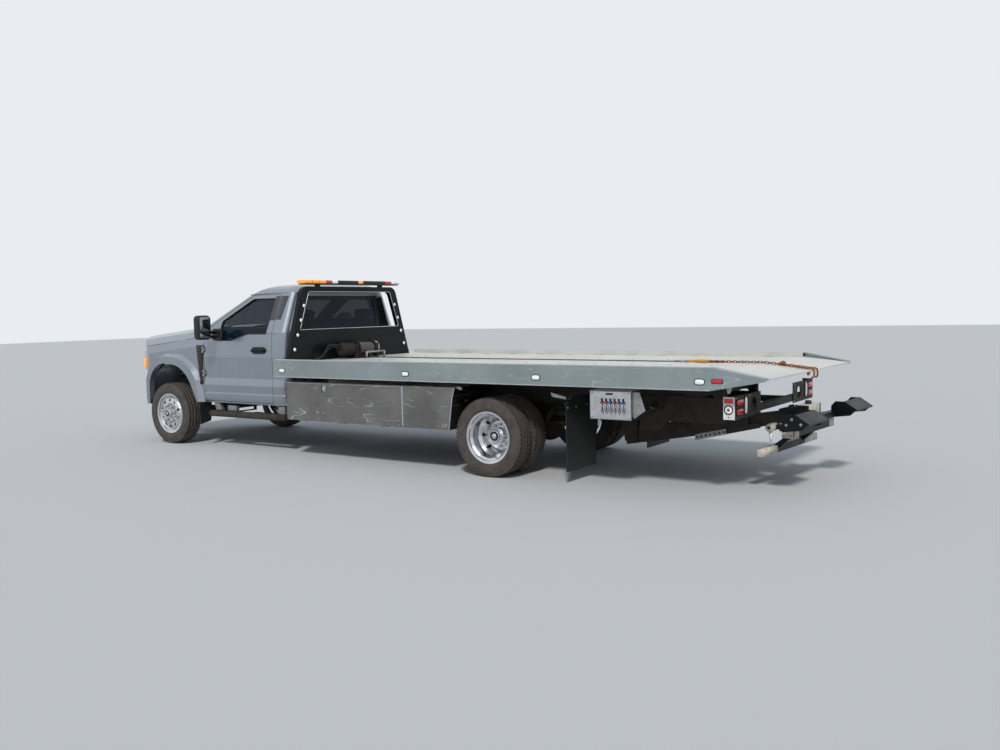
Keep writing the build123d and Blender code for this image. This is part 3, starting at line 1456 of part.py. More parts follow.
socket_x = beam_x + 130
socket_z = beam_low_z + 75
socket = rod_y(socket_x, socket_z, 32, beam_half_length - 150, beam_half_length + 10)
socket += box(beam_x - 5, socket_x, beam_half_length - 130, beam_half_length - 60, socket_z - 20,
              socket_z + 20)
socket_bore_radius = 12
socket -= rod_y(socket_x, socket_z, socket_bore_radius, beam_half_length - 200, beam_half_length + 30)
crossbar += both_sides(socket)
low_tube_x = beam_x + 150
low_tube_z = 350
low_tube_half_length = 600
tube = box(low_tube_x - 32, low_tube_x + 32, -low_tube_half_length, low_tube_half_length, low_tube_z - 32,
           low_tube_z + 32)
crossbar += tube
hanger = side_slab([
    (beam_x - 60, beam_low_z + 20),
    (beam_x, beam_low_z + 20),
    (low_tube_x + 30, low_tube_z + 20),
    (low_tube_x - 30, low_tube_z),
], 260, 290)
crossbar += both_sides(hanger)
swivel_axis = Axis(pivot_plane.origin, pivot_plane.z_dir)
keep("lift_crossbar", crossbar.rotate(swivel_axis, crossbar_yaw))

# Wheel cradles: slanted plates with end cheeks on the crossbar
cradle_inner_y = 350
cradle_outer_y = 760
cradle_wall = 14
cradle_low = beam_z + 5
cradle_x = beam_x - beam_depth
plate_outline = [
    (cradle_x - 150, cradle_low + 75),
    (cradle_x - 143, cradle_low + 88),
    (cradle_x - 262, cradle_low + 14),
    (cradle_x - 268, cradle_low - 2),
]
cheek_outline = [
    (cradle_x - 20, cradle_low + 40),
    (cradle_x - 60, cradle_low + 84),
    (cradle_x - 140, cradle_low + 84),
    (cradle_x - 258, cradle_low + 10),
    (cradle_x - 200, cradle_low - 45),
    (cradle_x - 20, cradle_low - 70),
]
cradle = side_slab(plate_outline, cradle_inner_y, cradle_outer_y)
cradle += side_slab(cheek_outline, cradle_inner_y, cradle_inner_y + cradle_wall)
cradle += side_slab(cheek_outline, cradle_outer_y - cradle_wall, cradle_outer_y)
cradle += box(cradle_x - 70, cradle_x, -10, cradle_outer_y, cradle_low - 60, cradle_low - 5)
cradles = both_sides(cradle)
keep("wheel_cradles", cradles.rotate(swivel_axis, crossbar_yaw))

# The origin moves to the middle of the truck, on the ground
sizes = [shape.bounding_box() for shape in pieces.values()]
origin_x = (min(size.min.X for size in sizes) + max(size.max.X for size in sizes)) / 2
os.makedirs("parts", exist_ok=True)
for name, shape in pieces.items():
    moved = Pos(-origin_x, 0, 0) * shape
    export_step(moved, "parts/" + name + ".step")
# Points that the moving pieces turn about, as X, Y, Z in the truck's own frame
hood_hinge = (door_front_x - panel_gap, 0, 1520)
door_hinge = (door_front_x, door_hinge_y, floor_z)
toolbox_hinge = (toolbox_front_x, toolbox_face_y, toolbox_low_z)
turning_points = {
    "hood": hood_hinge,
    "door": door_hinge,
    "toolbox door": toolbox_hinge,
    "kingpin": (0, kingpin_y, tyre_radius),
    "front wheel": (0, front_tyre_y, tyre_radius),
    "rear wheel": (rear_axle_x, dual_plane_y, tyre_radius),
    "tilt": (hinge_x, 0, hinge_z),
    "tilt cylinder base": (ram_base_x, ram_y, ram_base_z),
    "tilt cylinder eye": (ram_eye_x, ram_y, ram_eye_z),
    "lift": (lift_pivot_x, 0, lift_pivot_z),
    "crossbar": (pivot_point[0], 0, pivot_point[1]),
}
print("origin", round(origin_x, 3), "from the front axle")
for name, (x, y, z) in turning_points.items():
    print(name, round(x - origin_x, 3), y, round(z, 3))
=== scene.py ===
import bpy
import json
import math
import numpy as np
from functools import partial
from mathutils import Matrix, Vector

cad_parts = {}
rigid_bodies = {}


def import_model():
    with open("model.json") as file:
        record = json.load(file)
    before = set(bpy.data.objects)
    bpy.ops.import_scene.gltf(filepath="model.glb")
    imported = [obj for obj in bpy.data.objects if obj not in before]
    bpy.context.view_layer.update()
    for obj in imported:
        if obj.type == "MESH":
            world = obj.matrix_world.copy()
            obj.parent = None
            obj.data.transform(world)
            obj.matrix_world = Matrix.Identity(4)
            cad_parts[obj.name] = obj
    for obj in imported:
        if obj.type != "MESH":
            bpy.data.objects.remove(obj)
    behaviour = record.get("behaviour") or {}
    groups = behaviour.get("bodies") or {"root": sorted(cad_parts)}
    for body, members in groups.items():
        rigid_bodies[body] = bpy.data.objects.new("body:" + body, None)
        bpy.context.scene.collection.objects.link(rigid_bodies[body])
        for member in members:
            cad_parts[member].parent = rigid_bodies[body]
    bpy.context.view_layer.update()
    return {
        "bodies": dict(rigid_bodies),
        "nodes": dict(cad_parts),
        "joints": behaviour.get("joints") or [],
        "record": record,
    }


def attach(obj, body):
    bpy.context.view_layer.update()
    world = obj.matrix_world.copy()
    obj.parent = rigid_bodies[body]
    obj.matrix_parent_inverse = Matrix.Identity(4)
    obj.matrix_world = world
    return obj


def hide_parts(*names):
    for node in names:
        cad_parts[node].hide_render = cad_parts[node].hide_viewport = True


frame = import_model()
nodes = frame["nodes"]
print("frame loaded:", len(nodes), "nodes")

# Places are written from the front axle, in metres; axleX carries them into the truck's own frame
axleX, rearX = (next(j["pos_m"][0] for j in frame["joints"] if j["name"] == "left_%s_wheel_spin" % end)
                for end in ("front", "rear"))
rearX -= axleX


def placed(name, data):
    thing = bpy.data.objects.new(name, data)
    bpy.context.scene.collection.objects.link(thing)
    return thing


camera = {
    "place": (-10.6179, 8.759, 1.6652),  # from the front axle
    "yaw": -0.9664, "pitch": -0.0691, "roll": -0.0216, "focalPixels": 944.31, "imageWidth": 1000, "filmMm": 36,
}


def makeCamera(look):
    # right and up start level, then turn by the roll about the line of sight
    yaw, pitch, roll = look["yaw"], look["pitch"], look["roll"]
    ahead = np.array([math.cos(pitch) * math.cos(yaw), math.cos(pitch) * math.sin(yaw), math.sin(pitch)])
    right = np.cross(ahead, [0, 0, 1])
    right = right / np.linalg.norm(right)
    above = np.cross(right, ahead)
    data = bpy.data.cameras.new("photoView")
    data.sensor_width = look["filmMm"]
    data.lens = look["focalPixels"] * look["filmMm"] / look["imageWidth"]
    data.clip_end = 200
    matrix = np.eye(4)
    matrix[:3, 0] = math.cos(roll) * right + math.sin(roll) * above
    matrix[:3, 1] = -math.sin(roll) * right + math.cos(roll) * above
    matrix[:3, 2] = -ahead
    matrix[:3, 3] = np.array(look["place"]) + [axleX, 0, 0]
    eye = placed("photoView", data)
    eye.matrix_world = Matrix(matrix.tolist())
    bpy.context.scene.camera = eye


makeCamera(camera)
print("camera placed")


def tint(hexText):
    # sRGB hex to linear: (c + 0.055) / 1.055 to the power 2.4, or c / 12.92 in the dark end
    channels = np.array([int(hexText[i:i + 2], 16) for i in (1, 3, 5)]) / 255
    linear = np.where(channels <= 0.04045, channels / 12.92, ((channels + 0.055) / 1.055) ** 2.4)
    return (*linear.tolist(), 1.0)


def feed(tree, node, inputs):
    # an input is linked where it is given another node's output, and set otherwise
    for key, value in inputs.items():
        if isinstance(value, bpy.types.NodeSocket):
            tree.links.new(value, node.inputs[key])
        else:
            node.inputs[key].default_value = value


def addNode(tree, kind, inputs=None, out=0, **settings):
    node = tree.nodes.new("ShaderNode" + kind)
    for key, value in settings.items():
        setattr(node, key, value)
    feed(tree, node, inputs or {})
    return node.outputs[out]


def startMaterial(name):
    # the new material, what adds a node to it, and what feeds its shader
    material = bpy.data.materials.new(name)
    material.use_nodes = True
    tree = material.node_tree
    return material, partial(addNode, tree), partial(feed, tree, tree.nodes["Principled BSDF"])


def makeFinish(name, look):
    # base and second tint mixed by clouds, dirt laid on by a wider cloud and by height above the ground,
    # bright scratches from a stretched noise, and a fine bump
    material, add, feedShader = startMaterial(name)
    place = add("TexCoord", out="Object")
    cloud = add("TexNoise", {"Vector": place, "Scale": 1000 / look.get("cloudMm", 300), "Detail": 5.0,
                             "Roughness": 0.6})
    mask = add("MapRange", {"Value": cloud, "From Min": 0.35, "From Max": 0.65})
    colour = add("Mix", {0: mask, 6: tint(look["base"]), 7: tint(look["second"])}, 2, data_type="RGBA")
    rough = add("MapRange", {"Value": cloud, "From Min": 0.3, "From Max": 0.7, "To Min": look["rough"][0],
                             "To Max": look["rough"][1]})
    if "dirt" in look:
        spread = add("TexNoise", {"Vector": place, "Scale": 1000 / look.get("dirtMm", 90), "Detail": 8.0,
                                  "Roughness": 0.65})
        low = add("MapRange", {"Value": add("SeparateXYZ", {"Vector": place}, "Z"), "From Min": look["dirtTop"],
                               "From Max": 0.2, "To Min": look.get("dirtLeast", 0.0), "To Max": look["dirtMost"]})
        amount = add("Math", {0: spread, 1: 0.35}, operation="SUBTRACT", use_clamp=True)
        for by in (3.0, low):
            amount = add("Math", {0: amount, 1: by}, operation="MULTIPLY", use_clamp=True)
        colour = add("Mix", {0: amount, 6: colour, 7: tint(look["dirt"])}, 2, data_type="RGBA")
        rough = add("Mix", {0: amount, 2: rough, 3: 0.85})
    if "scratch" in look:
        turnedPlace = add("Mapping", {"Vector": place, "Rotation": look.get("scratchTurn", (0.3, 0.9, 0.5)),
                                      "Scale": look.get("scratchRun", (3.0, 40.0, 40.0))})
        lines = add("TexNoise", {"Vector": turnedPlace, "Scale": 1000 / look.get("scratchMm", 400), "Detail": 3.0,
                                 "Roughness": 0.5})
        thin = add("MapRange", {"Value": lines, "From Min": 0.66, "From Max": 0.7, "To Max": look["scratchMost"]})
        colour = add("Mix", {0: thin, 6: colour, 7: tint(look["scratch"])}, 2, data_type="RGBA")
    if "hairline" in look:
        # long wandering hairlines: the level line of a slow noise, kept only where a second noise is high
        for turn, size, run in (((0, 0.5, 0.1), 1.0, 5.0), ((0, -0.8, 0.1), 0.8, 4.0), ((0, 1.2, 0.2), 1.3, 6.0)):
            wide = size * look["hairlineMm"]
            bent = add("Mapping", {"Vector": place, "Rotation": turn, "Scale": (1.0, 1.0, run)})
            slow = add("TexNoise", {"Vector": bent, "Scale": 1000 / wide, "Detail": 1.0})
            level = add("Math", {0: slow, 1: 0.5, 2: 0.0045}, operation="COMPARE")
            patch = add("TexNoise", {"Vector": place, "Scale": 2200 / wide, "Detail": 3.0})
            shown = add("MapRange", {"Value": patch, "From Min": 0.54, "From Max": 0.64,
                                     "To Max": look["hairlineMost"]})
            shown = add("Math", {0: shown, 1: level}, operation="MULTIPLY")
            colour = add("Mix", {0: shown, 6: colour, 7: tint(look["hairline"])}, 2, data_type="RGBA")
            rough = add("Mix", {0: shown, 2: rough, 3: 0.7})
    grain = add("TexNoise", {"Vector": place, "Scale": 1000 / look.get("grainMm", 4), "Detail": 2.0})
    bump = add("Bump", {"Height": grain, "Strength": look.get("bump", 0.1), "Distance": look.get("bumpMm", 0.3) / 1000})
    feedShader({"Base Color": colour, "Roughness": rough, "Normal": bump, "Metallic": look.get("metal", 0.0),
                "Specular IOR Level": look.get("sheen", 0.5), "Coat Weight": look.get("coat", 0.0),
                "Coat Roughness": 0.06})
    # a faint glow on the lamp lenses: painted highlight
    if "glow" in look:
        feedShader({"Emission Color": tint(look["glow"]), "Emission Strength": look["glowStrength"]})
    return material


lensLook = dict(rough=(0.12, 0.2), coat=0.5, bump=0.3, grainMm=5)
finishes = {
    # clear-coated metallic paint: even silver with a cool cast, a little road film at the sills
    "silverPaint": dict(base="#8a9199", second="#949ba3", cloudMm=900, rough=(0.24, 0.3), metal=0.7, coat=0.6,
        dirt="#8a8680", dirtTop=0.95, dirtMost=0.45, bump=0.0),
    # gloss black powder coat on steel: deep black with faint dust
    "glossBlack": dict(base="#06080c", second="#0a0c11", rough=(0.25, 0.4), sheen=0.22, bump=0.03, dirt="#24221f",
        dirtTop=1.6, dirtMost=0.25),
    # satin chassis black, sprayed and then covered by dry road dust
    "chassisBlack": dict(base="#1b1a18", second="#2a2723", rough=(0.45, 0.65), sheen=0.3, dirt="#524b42", dirtTop=1.1,
        dirtMost=0.8, dirtLeast=0.1, bump=0.2, grainMm=3),
    # extruded aluminium rail: dull mirror with scuffs; its green-grey and blue-grey clouds are a painted reflection of
    # grass and sky
    "railAluminium": dict(base="#959f9d", second="#a4aeb0", cloudMm=700, rough=(0.26, 0.42), metal=0.85,
        scratch="#c9d0d2", scratchMost=0.45, hairline="#d8dddd", hairlineMm=600, hairlineMost=0.5, bump=0.05,
        grainMm=6),
    # deck plate: bare pale steel worn by tyres
    "deckPlate": dict(base="#c2c0b9", second="#d3d0c8", cloudMm=420, rough=(0.4, 0.6), metal=0.3, scratch="#9b9891",
        scratchMost=0.55, scratchTurn=(0, 0, 0), scratchRun=(0.6, 14.0, 14.0), bump=0.12, grainMm=8),
    # polished sheet of the toolboxes: grey mirror with many fine wiping scratches
    "polishedSheet": dict(base="#7c7976", second="#8f8c89", cloudMm=350, rough=(0.12, 0.22), metal=0.95,
        scratch="#b8b6b2", scratchMost=0.6, scratchMm=500, hairline="#e6e4e0", hairlineMm=700, hairlineMost=0.8,
        bump=0.05, grainMm=3),
    # forged and buffed wheels: near mirror
    "buffedAluminium": dict(base="#c9cbce", second="#dcdde0", cloudMm=60, rough=(0.12, 0.2), metal=1.0, bump=0.02,
        grainMm=2),
    # zinc-plated brackets and fasteners: pale grey, dull
    "zincPlate": dict(base="#8f9190", second="#a9aba9", cloudMm=40, rough=(0.3, 0.5), metal=0.9),
    # moulded black plastic: fine grain
    "blackPlastic": dict(base="#101112", second="#15171a", rough=(0.38, 0.5), bump=0.3, grainMm=1.5),
    # cut rubber sheet and hoses: matt black, dusty low down
    "blackRubber": dict(base="#0e0f10", second="#151617", rough=(0.5, 0.7), dirt="#39362f", dirtTop=0.7, dirtMost=0.4,
        bump=0.25, grainMm=2),
    # iron castings of the axles and engine: rough, brown with dust
    "castIron": dict(base="#2a2825", second="#3a3631", cloudMm=80, rough=(0.6, 0.8), metal=0.3, dirt="#5b4a3a",
        dirtTop=1.0, dirtMost=0.6, bump=0.5, grainMm=5, bumpMm=1),
    # cream enamel of the lift's end parts, chipped and dusty
    "creamEnamel": dict(base="#c4bdad", second="#d4cdbf", cloudMm=60, rough=(0.4, 0.6), dirt="#6d6558", dirtTop=1.3,
        dirtMost=0.6, dirtLeast=0.3, dirtMm=50, bump=0.15),
    # rusted chain steel: orange brown, no shine
    "rustySteel": dict(base="#6e4227", second="#9a6238", cloudMm=25, rough=(0.7, 0.9), metal=0.2, bump=0.6, grainMm=2,
        bumpMm=0.6),
    # yellow enamel of the tow hook, worn to brown
    "hookYellow": dict(base="#c98f1a", second="#dba531", cloudMm=30, rough=(0.4, 0.6), dirt="#6b4a1d", dirtTop=3.0,
        dirtMost=1.0, dirtLeast=0.6, dirtMm=30),
    # moulded lamp lenses: glossy, with a faint glow of their own that is a painted highlight
    "redLens": dict(lensLook, base="#b3121c", second="#c91a24", glow="#c01018", glowStrength=0.15),
    "amberLens": dict(lensLook, base="#f08a1c", second="#ffab3a", glow="#ff9a20", glowStrength=0.35),
    "clearLens": dict(lensLook, base="#d9dcdc", second="#eceeee", rough=(0.1, 0.2), glow="#ffffff", glowStrength=0.1),
    # dark chrome of the fender vents; its warm brown is a painted reflection of autumn trees
    "smokedChrome": dict(base="#5d4c3d", second="#7a6148", cloudMm=40, rough=(0.15, 0.3), metal=1.0),
    # white enamel on lamp bodies and blank plates
    "whiteEnamel": dict(base="#d6d6d2", second="#e0e0dc", rough=(0.25, 0.4), bump=0.05, dirt="#8d877b", dirtTop=1.6,
        dirtMost=0.35),
    # hot-dipped plate: mid grey with paler spangle
    "galvanised": dict(base="#8d8f8c", second="#a8aaa7", cloudMm=25, rough=(0.35, 0.5), metal=0.75, dirt="#5a554c",
        dirtTop=1.0, dirtMost=0.4),
    # knob plastics: glossy red and blue
    "redKnob": dict(base="#9c1a1c", second="#b02224", rough=(0.3, 0.4), coat=0.3),
    "blueKnob": dict(base="#1d3f8c", second="#264b9c", rough=(0.3, 0.4), coat=0.3),
    # silvered mirror glass whose grey is a painted reflection of a grey sky
    "mirrorGlass": dict(base="#868c8f", second="#969da1", rough=(0.05, 0.08), metal=1.0, bump=0.0),
    # dark film on the pillars behind the doors' glass: satin, lighter than the glass
    "pillarFilm": dict(base="#2b2d30", second="#33363a", rough=(0.25, 0.35), coat=0.3, bump=0.05),
    # woven seat cloth: dark and matt
    "seatCloth": dict(base="#26272a", second="#303236", cloudMm=20, rough=(0.85, 0.95), bump=0.6, grainMm=1.5),
    # bright chrome on plastic: a mirror
    "brightChrome": dict(base="#c4c6c8", second="#d2d4d6", rough=(0.06, 0.12), metal=1.0, bump=0.0),
}
materials = {name: makeFinish(name, look) for name, look in finishes.items()}


def makeGlass(name, colour, opacity):
    # tinted safety glass: a dark clear sheet with a sharp reflection
    material, add, feedShader = startMaterial(name)
    film = add("TexNoise", {"Vector": add("TexCoord", out="Object"), "Scale": 4.0, "Detail": 4.0})
    rough = add("MapRange", {"Value": film, "To Min": 0.02, "To Max": 0.08})
    feedShader({"Roughness": rough, "Base Color": tint(colour), "Alpha": opacity, "Specular IOR Level": 0.22})
    return material


materials["cabGlass"] = makeGlass("cabGlass", "#0b1c29", 0.6)
materials["lampCover"] = makeGlass("lampCover", "#20262a", 0.16)


def makeTyreRubber():
    # cured tyre rubber: near black, brown dust rubbed into the sidewall in rings, greyer on the tread
    material, add, feedShader = startMaterial("tyreRubber")
    place = add("TexCoord", out="Object")
    across = add("SeparateXYZ", {0: add("UVMap", uv_map="wrap")}, "Y")
    rings = add("Math", {0: across, 1: 210.0}, operation="MULTIPLY")
    rings = add("Math", {0: rings}, operation="SINE")
    dust = add("TexNoise", {"Vector": place, "Scale": 14.0, "Detail": 9.0, "Roughness": 0.7})
    mask = add("Math", {0: rings, 1: 0.1, 2: dust}, operation="MULTIPLY_ADD")
    mask = add("MapRange", {"Value": mask, "From Min": 0.3, "From Max": 0.75, "To Min": 0.25, "To Max": 0.85})
    colour = add("Mix", {0: mask, 6: tint("#1d1c1b"), 7: tint("#5d544c")}, 2, data_type="RGBA")
    bump = add("Bump", {"Height": rings, "Strength": 0.35, "Distance": 0.001})
    feedShader({"Base Color": colour, "Normal": bump, "Roughness": 0.78})
    return material


def makeWireRope():
    # laid steel wire rope: strands wound round it, with a painted highlight on their backs and painted shade between
    # them
    material, add, feedShader = startMaterial("wireRope")
    along = add("SeparateXYZ", {0: add("UVMap", uv_map="wrap")}, "Y")
    wind = add("Math", {0: along, 1: 95.0, 2: along.node.outputs["X"]}, operation="MULTIPLY_ADD")
    wind = add("Math", {0: wind, 1: 6 * 2 * math.pi}, operation="MULTIPLY")
    strand = add("Math", {0: wind}, operation="SINE")
    shade = add("MapRange", {"Value": strand, "From Min": -1.0, "From Max": 1.0})
    colour = add("Mix", {0: shade, 6: tint("#2e2b28"), 7: tint("#8a8782")}, 2, data_type="RGBA")
    bump = add("Bump", {"Height": strand, "Strength": 0.6, "Distance": 0.001})
    feedShader({"Base Color": colour, "Normal": bump, "Metallic": 0.7, "Roughness": 0.5})
    return material


materials["tyreRubber"] = makeTyreRubber()
materials["wireRope"] = makeWireRope()

# what each solid wears; a plus stands for the left one and the right one
dressing = {
    "silverPaint": "cab_shell front_clip hood +door front_bumper",
    "cabGlass": "cab_glass +door_glass",
    "blackPlastic": "dashboard +mirror grille front_mudflaps",
    "chassisBlack": "frame_rails fuel_tank tail_panel lift_mount tilt_frame lift_boom lift_stinger tilt_barrels winch "
                    "side_steps",
    "glossBlack": "headboard wheel_cradles light_bar lift_crossbar",
    "castIron": "engine_block front_axle rear_axle drive_shaft +knuckle",
    "polishedSheet": "+toolbox +toolbox_door control_boxes",
    "railAluminium": "bed_rails", "deckPlate": "bed_deck", "buffedAluminium": "+front_rim +rear_rims",
    "tyreRubber": "+front_tyre +rear_tyres", "blackRubber": "rear_mudflaps", "seatCloth": "bench_seat",
    "rustySteel": "winch_line", "brightChrome": "tilt_rods", "lampCover": "headlamps", "clearLens": "marker_lamps",
    "redLens": "tail_lamps",
}
for finish, members in dressing.items():
    for member in members.split():
        for side in ("left_", "right_") if member[0] == "+" else ("",):
            worn = nodes[side + member.strip("+")].data.materials
            worn.clear()
            worn.append(materials[finish])
print("finishes made:", len(materials))


# Each shape is a dictionary of points, quads, triangles and a wrap (u, v) for each corner of a quad
def cornersOf(a):
    return np.stack([a[:-1, :-1], a[1:, :-1], a[1:, 1:], a[:-1, 1:]], -1).reshape(-1, 4)


def gridShape(grid, closeV=False, caps=False):
    # grid[i, j] is the surface's point at u = i / rows, v = j / columns; caps fan from a ring's middle
    rows, columns = grid.shape[:2]
    number = np.arange(rows * columns).reshape(rows, columns)
    number = np.vstack([number, number[:1]])
    if closeV:
        number = np.hstack([number, number[:, :1]])
    u = np.linspace(0, 1, number.shape[0])[:, None] + np.zeros(number.shape)
    v = np.linspace(0, 1, number.shape[1])[None, :] + np.zeros(number.shape)
    points = grid.reshape(-1, 3)
    triangles = np.zeros((0, 3), int)
    for ring in (number[:, 0][::-1], number[:, -1]) if caps else ():
        fan = np.stack([np.full(len(ring) - 1, len(points)), ring[:-1], ring[1:]], -1)
        points = np.vstack([points, points[ring].mean(0)])
        triangles = np.vstack([triangles, fan])
    return {"points": points, "quads": cornersOf(number), "wrap": np.stack([cornersOf(u), cornersOf(v)], -1),
            "triangles": triangles}


def joined(shapes):
    start = np.cumsum([0] + [len(s["points"]) for s in shapes])
    return {key: np.vstack([s[key] + more * k for s, k in zip(shapes, start)])
            for key, more in (("points", 0), ("quads", 1), ("wrap", 0), ("triangles", 1))}


def shifted(shape, by):
    return {**shape, "points": shape["points"] + np.array(by)}


def flipped(shape):
    return {**shape, **{key: shape[key][:, ::-1] for key in ("quads", "wrap", "triangles")}}


def reflected(shape):
    # the same shape on the truck's other side, its faces turned so that they still point outwards
    return {**flipped(shape), "points": shape["points"] * [1, -1, 1]}


def turned(shape, angle, axis, about=(0, 0, 0)):
    # turns by the angle about an axis through a point, by the usual rotation of a vector
    axis = np.array(axis, float) / np.linalg.norm(axis)
    arm = shape["points"] - np.array(about)
    points = (arm * math.cos(angle) + np.cross(axis, arm) * math.sin(angle)
              + np.outer(arm @ axis, axis) * (1 - math.cos(angle)))
    return {**shape, "points": points + np.array(about)}


def addPiece(name, shapes, finish, body="chassis", smooth=True, bevelMm=0.0):
    shape = joined(shapes if isinstance(shapes, list) else [shapes])
    mesh = bpy.data.meshes.new(name)
    faces = shape["quads"].tolist() + shape["triangles"].tolist()
    mesh.from_pydata((shape["points"] + [axleX, 0, 0]).tolist(), [], faces)
    flat = np.zeros((len(mesh.loops), 2))
    flat[:len(shape["quads"]) * 4] = shape["wrap"].reshape(-1, 2)
    mesh.uv_layers.new(name="wrap").data.foreach_set("uv", flat.ravel())
    mesh.polygons.foreach_set("use_smooth", [smooth] * len(mesh.polygons))
    mesh.materials.append(materials[finish])
    piece = placed(name, mesh)
    if bevelMm:
        edge = piece.modifiers.new("softEdge", "BEVEL")
        edge.width = bevelMm / 1000
        edge.segments = 2
        edge.limit_method = "ANGLE"
    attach(piece, body)
    return piece


def bothSides(name, shapes, finish, body="chassis", **more):
    shape = joined(shapes if isinstance(shapes, list) else [shapes])
    return (addPiece("left" + name, shape, finish, body, **more),
            addPiece("right" + name, reflected(shape), finish, body.replace("left_", "right_"), **more))


def turns(count):
    return np.linspace(0, 2 * np.pi, count, endpoint=False)


def outward(shape):
    # turns all faces round where the signed volume under them, a sum of triple products, is negative
    points, quads = shape["points"], shape["quads"]
    corners = np.vstack([quads[:, [0, 1, 2]], quads[:, [0, 2, 3]], shape["triangles"]])
    one, two, three = (points[corners[:, k]] for k in range(3))
    return shape if np.einsum("ij,ij->i", one, np.cross(two, three)).sum() >= 0 else flipped(shape)


def lathe(profile, steps=48, centre=(0, 0, 0), axis="y", caps=True):
    # the point at angle a: radius * (cos a, sin a) across the axis, plus the profile's offset along it
    radius, along = np.array(profile, float).T
    a = turns(steps)[:, None]
    one, two = radius * np.cos(a), radius * np.sin(a)
    side = along + np.zeros_like(one)
    order = {"y": (two, side, one), "x": (side, one, two), "z": (one, two, side)}[axis]
    return shifted(gridShape(np.stack(order, -1), caps=caps), centre)


def tube(path, radius, sides=8):
    # a circle carried along the path, square to its direction; radius may be one for each point
    path = np.array(path, float)
    ahead = np.gradient(path, axis=0)
    ahead /= np.linalg.norm(ahead, axis=1)[:, None]
    guide = np.array([0.31, 0.17, 0.93]) if abs(ahead[:, 2]).max() < 0.9 else np.array([0.2, 0.95, 0.1])
    side = np.cross(ahead, guide)
    side /= np.linalg.norm(side, axis=1)[:, None]
    above = np.cross(side, ahead)
    a = turns(sides)[:, None, None]
    size = np.broadcast_to(np.array(radius, float), (len(path),))[None, :, None]
    grid = path[None] + size * (np.cos(a) * side[None] + np.sin(a) * above[None])
    return gridShape(grid[::-1], caps=True)


def smoothPath(points, count=40):
    # a curve through the points: blends cubic pieces whose ends lean along their neighbours
    points = np.array(points, float)
    t = np.linspace(0, len(points) - 1, count)
    k = np.minimum(t.astype(int), len(points) - 2)
    f = (t - k)[:, None]
    lean = np.gradient(points, axis=0)
    return ((2 * f ** 3 - 3 * f ** 2 + 1) * points[k] + (f ** 3 - 2 * f ** 2 + f) * lean[k]
            + (-2 * f ** 3 + 3 * f ** 2) * points[k + 1] + (f ** 3 - f ** 2) * lean[k + 1])


def roundedOutline(halfWide, halfTall, corner, steps=5):
    # quarter circles at the four corners, joined by straight sides
    a = np.linspace(0, np.pi / 2, steps)
    return np.vstack([np.stack([corner * np.cos(a + k * np.pi / 2), corner * np.sin(a + k * np.pi / 2)], -1)
                      + [sx * (halfWide - corner), sy * (halfTall - corner)]
                      for k, (sx, sy) in enumerate(((1, 1), (-1, 1), (-1, -1), (1, -1)))])


def disc(radius, at, steps=5):
    # a round outline: quarter circles that all but meet
    return roundedOutline(radius, radius, radius - 0.0001, steps) + at


def rect(left, right, low, high):
    return [(left, low), (right, low), (right, high), (left, high)]


def oval(middle, long, wide, steps=7, upright=False):
    # a slot's outline: half circles joined by straight sides
    outline = roundedOutline(long / 2, wide / 2, wide / 2 * 0.999, steps)
    return (outline[:, ::-1] if upright else outline) + np.array(middle)


def pad(low, high, corner, edge, axis="y", steps=5):
    # a rounded outline carried along the axis; near both ends it draws in along a quarter circle
    low, high = np.array(low, float), np.array(high, float)
    order = {"x": (1, 2, 0), "y": (2, 0, 1), "z": (0, 1, 2)}[axis]
    wide, tall, deep = ((high - low) / 2)[list(order)]
    q = np.linspace(0, np.pi / 2, 4)
    draw = np.concatenate([edge * (1 - np.sin(q)), edge * (1 - np.sin(q[::-1]))])
    along = np.concatenate([-deep + edge * (1 - np.cos(q)), deep - edge * (1 - np.cos(q[::-1]))])
    outline = roundedOutline(wide, tall, corner, steps)
    flat = outline[:, None, :] * (1 - draw[None, :, None] / np.array([wide, tall]))
    grid = np.zeros((len(outline), len(along), 3))
    grid[..., order[0]], grid[..., order[1]], grid[..., order[2]] = flat[..., 0], flat[..., 1], along[None, :]
    return shifted(gridShape(grid, caps=True), (low + high) / 2)


def carried(loops):
    # rings of points joined in turn, with a fan closing each end
    return outward(gridShape(np.array(loops, float).transpose(1, 0, 2), caps=True))


def standing(outline, place, facing="y"):
    # a flat outline stood up at one place: facing y takes X and Z, facing x Y and Z, facing z X and Y
    order = {"x": (1, 2, 0), "y": (0, 2, 1), "z": (0, 1, 2)}[facing]
    ring = np.zeros((len(outline), 3))
    ring[:, order[0]], ring[:, order[1]], ring[:, order[2]] = outline[:, 0], outline[:, 1], place
    return ring


def circle(centre, radius, count, facing="y"):
    # points round the centre, radius * (cos a, sin a) in the plane that faces that way
    a = turns(count)
    return standing(radius * np.stack([np.cos(a), np.sin(a)], -1), 0, facing) + np.array(centre)


def slab(outline, start, end, facing="y", edge=0.001):
    # an outline carried from start to end, drawn in by the edge at both
    outline = np.array(outline, float)
    middle = (outline.max(0) + outline.min(0)) / 2
    small = middle + (outline - middle) * (1 - edge / ((outline.max(0) - outline.min(0)) / 2))
    step = math.copysign(edge, end - start)
    rings = [(small, start), (outline, start + step), (outline, end - step), (small, end)]
    return carried([standing(shape, place, facing) for shape, place in rings])


def dome(outline, base, height, facing="y", rings=6):
    # an outline that shrinks by cos a as it rises by height times sin a, from just under its base
    outline = np.array(outline, float)
    middle = (outline.max(0) + outline.min(0)) / 2
    loops = [standing(outline, base - 0.2 * height, facing)]
    loops += [standing(middle + (outline - middle) * math.cos(q), base + height * math.sin(q), facing)
              for q in np.linspace(0, np.pi / 2 * 0.93, rings)]
    return carried(loops)


def block(low, high, edge=0.002):
    # a straight-sided bar between two corners
    return slab(rect(low[0], high[0], low[2], high[2]), low[1], high[1], "y", edge)


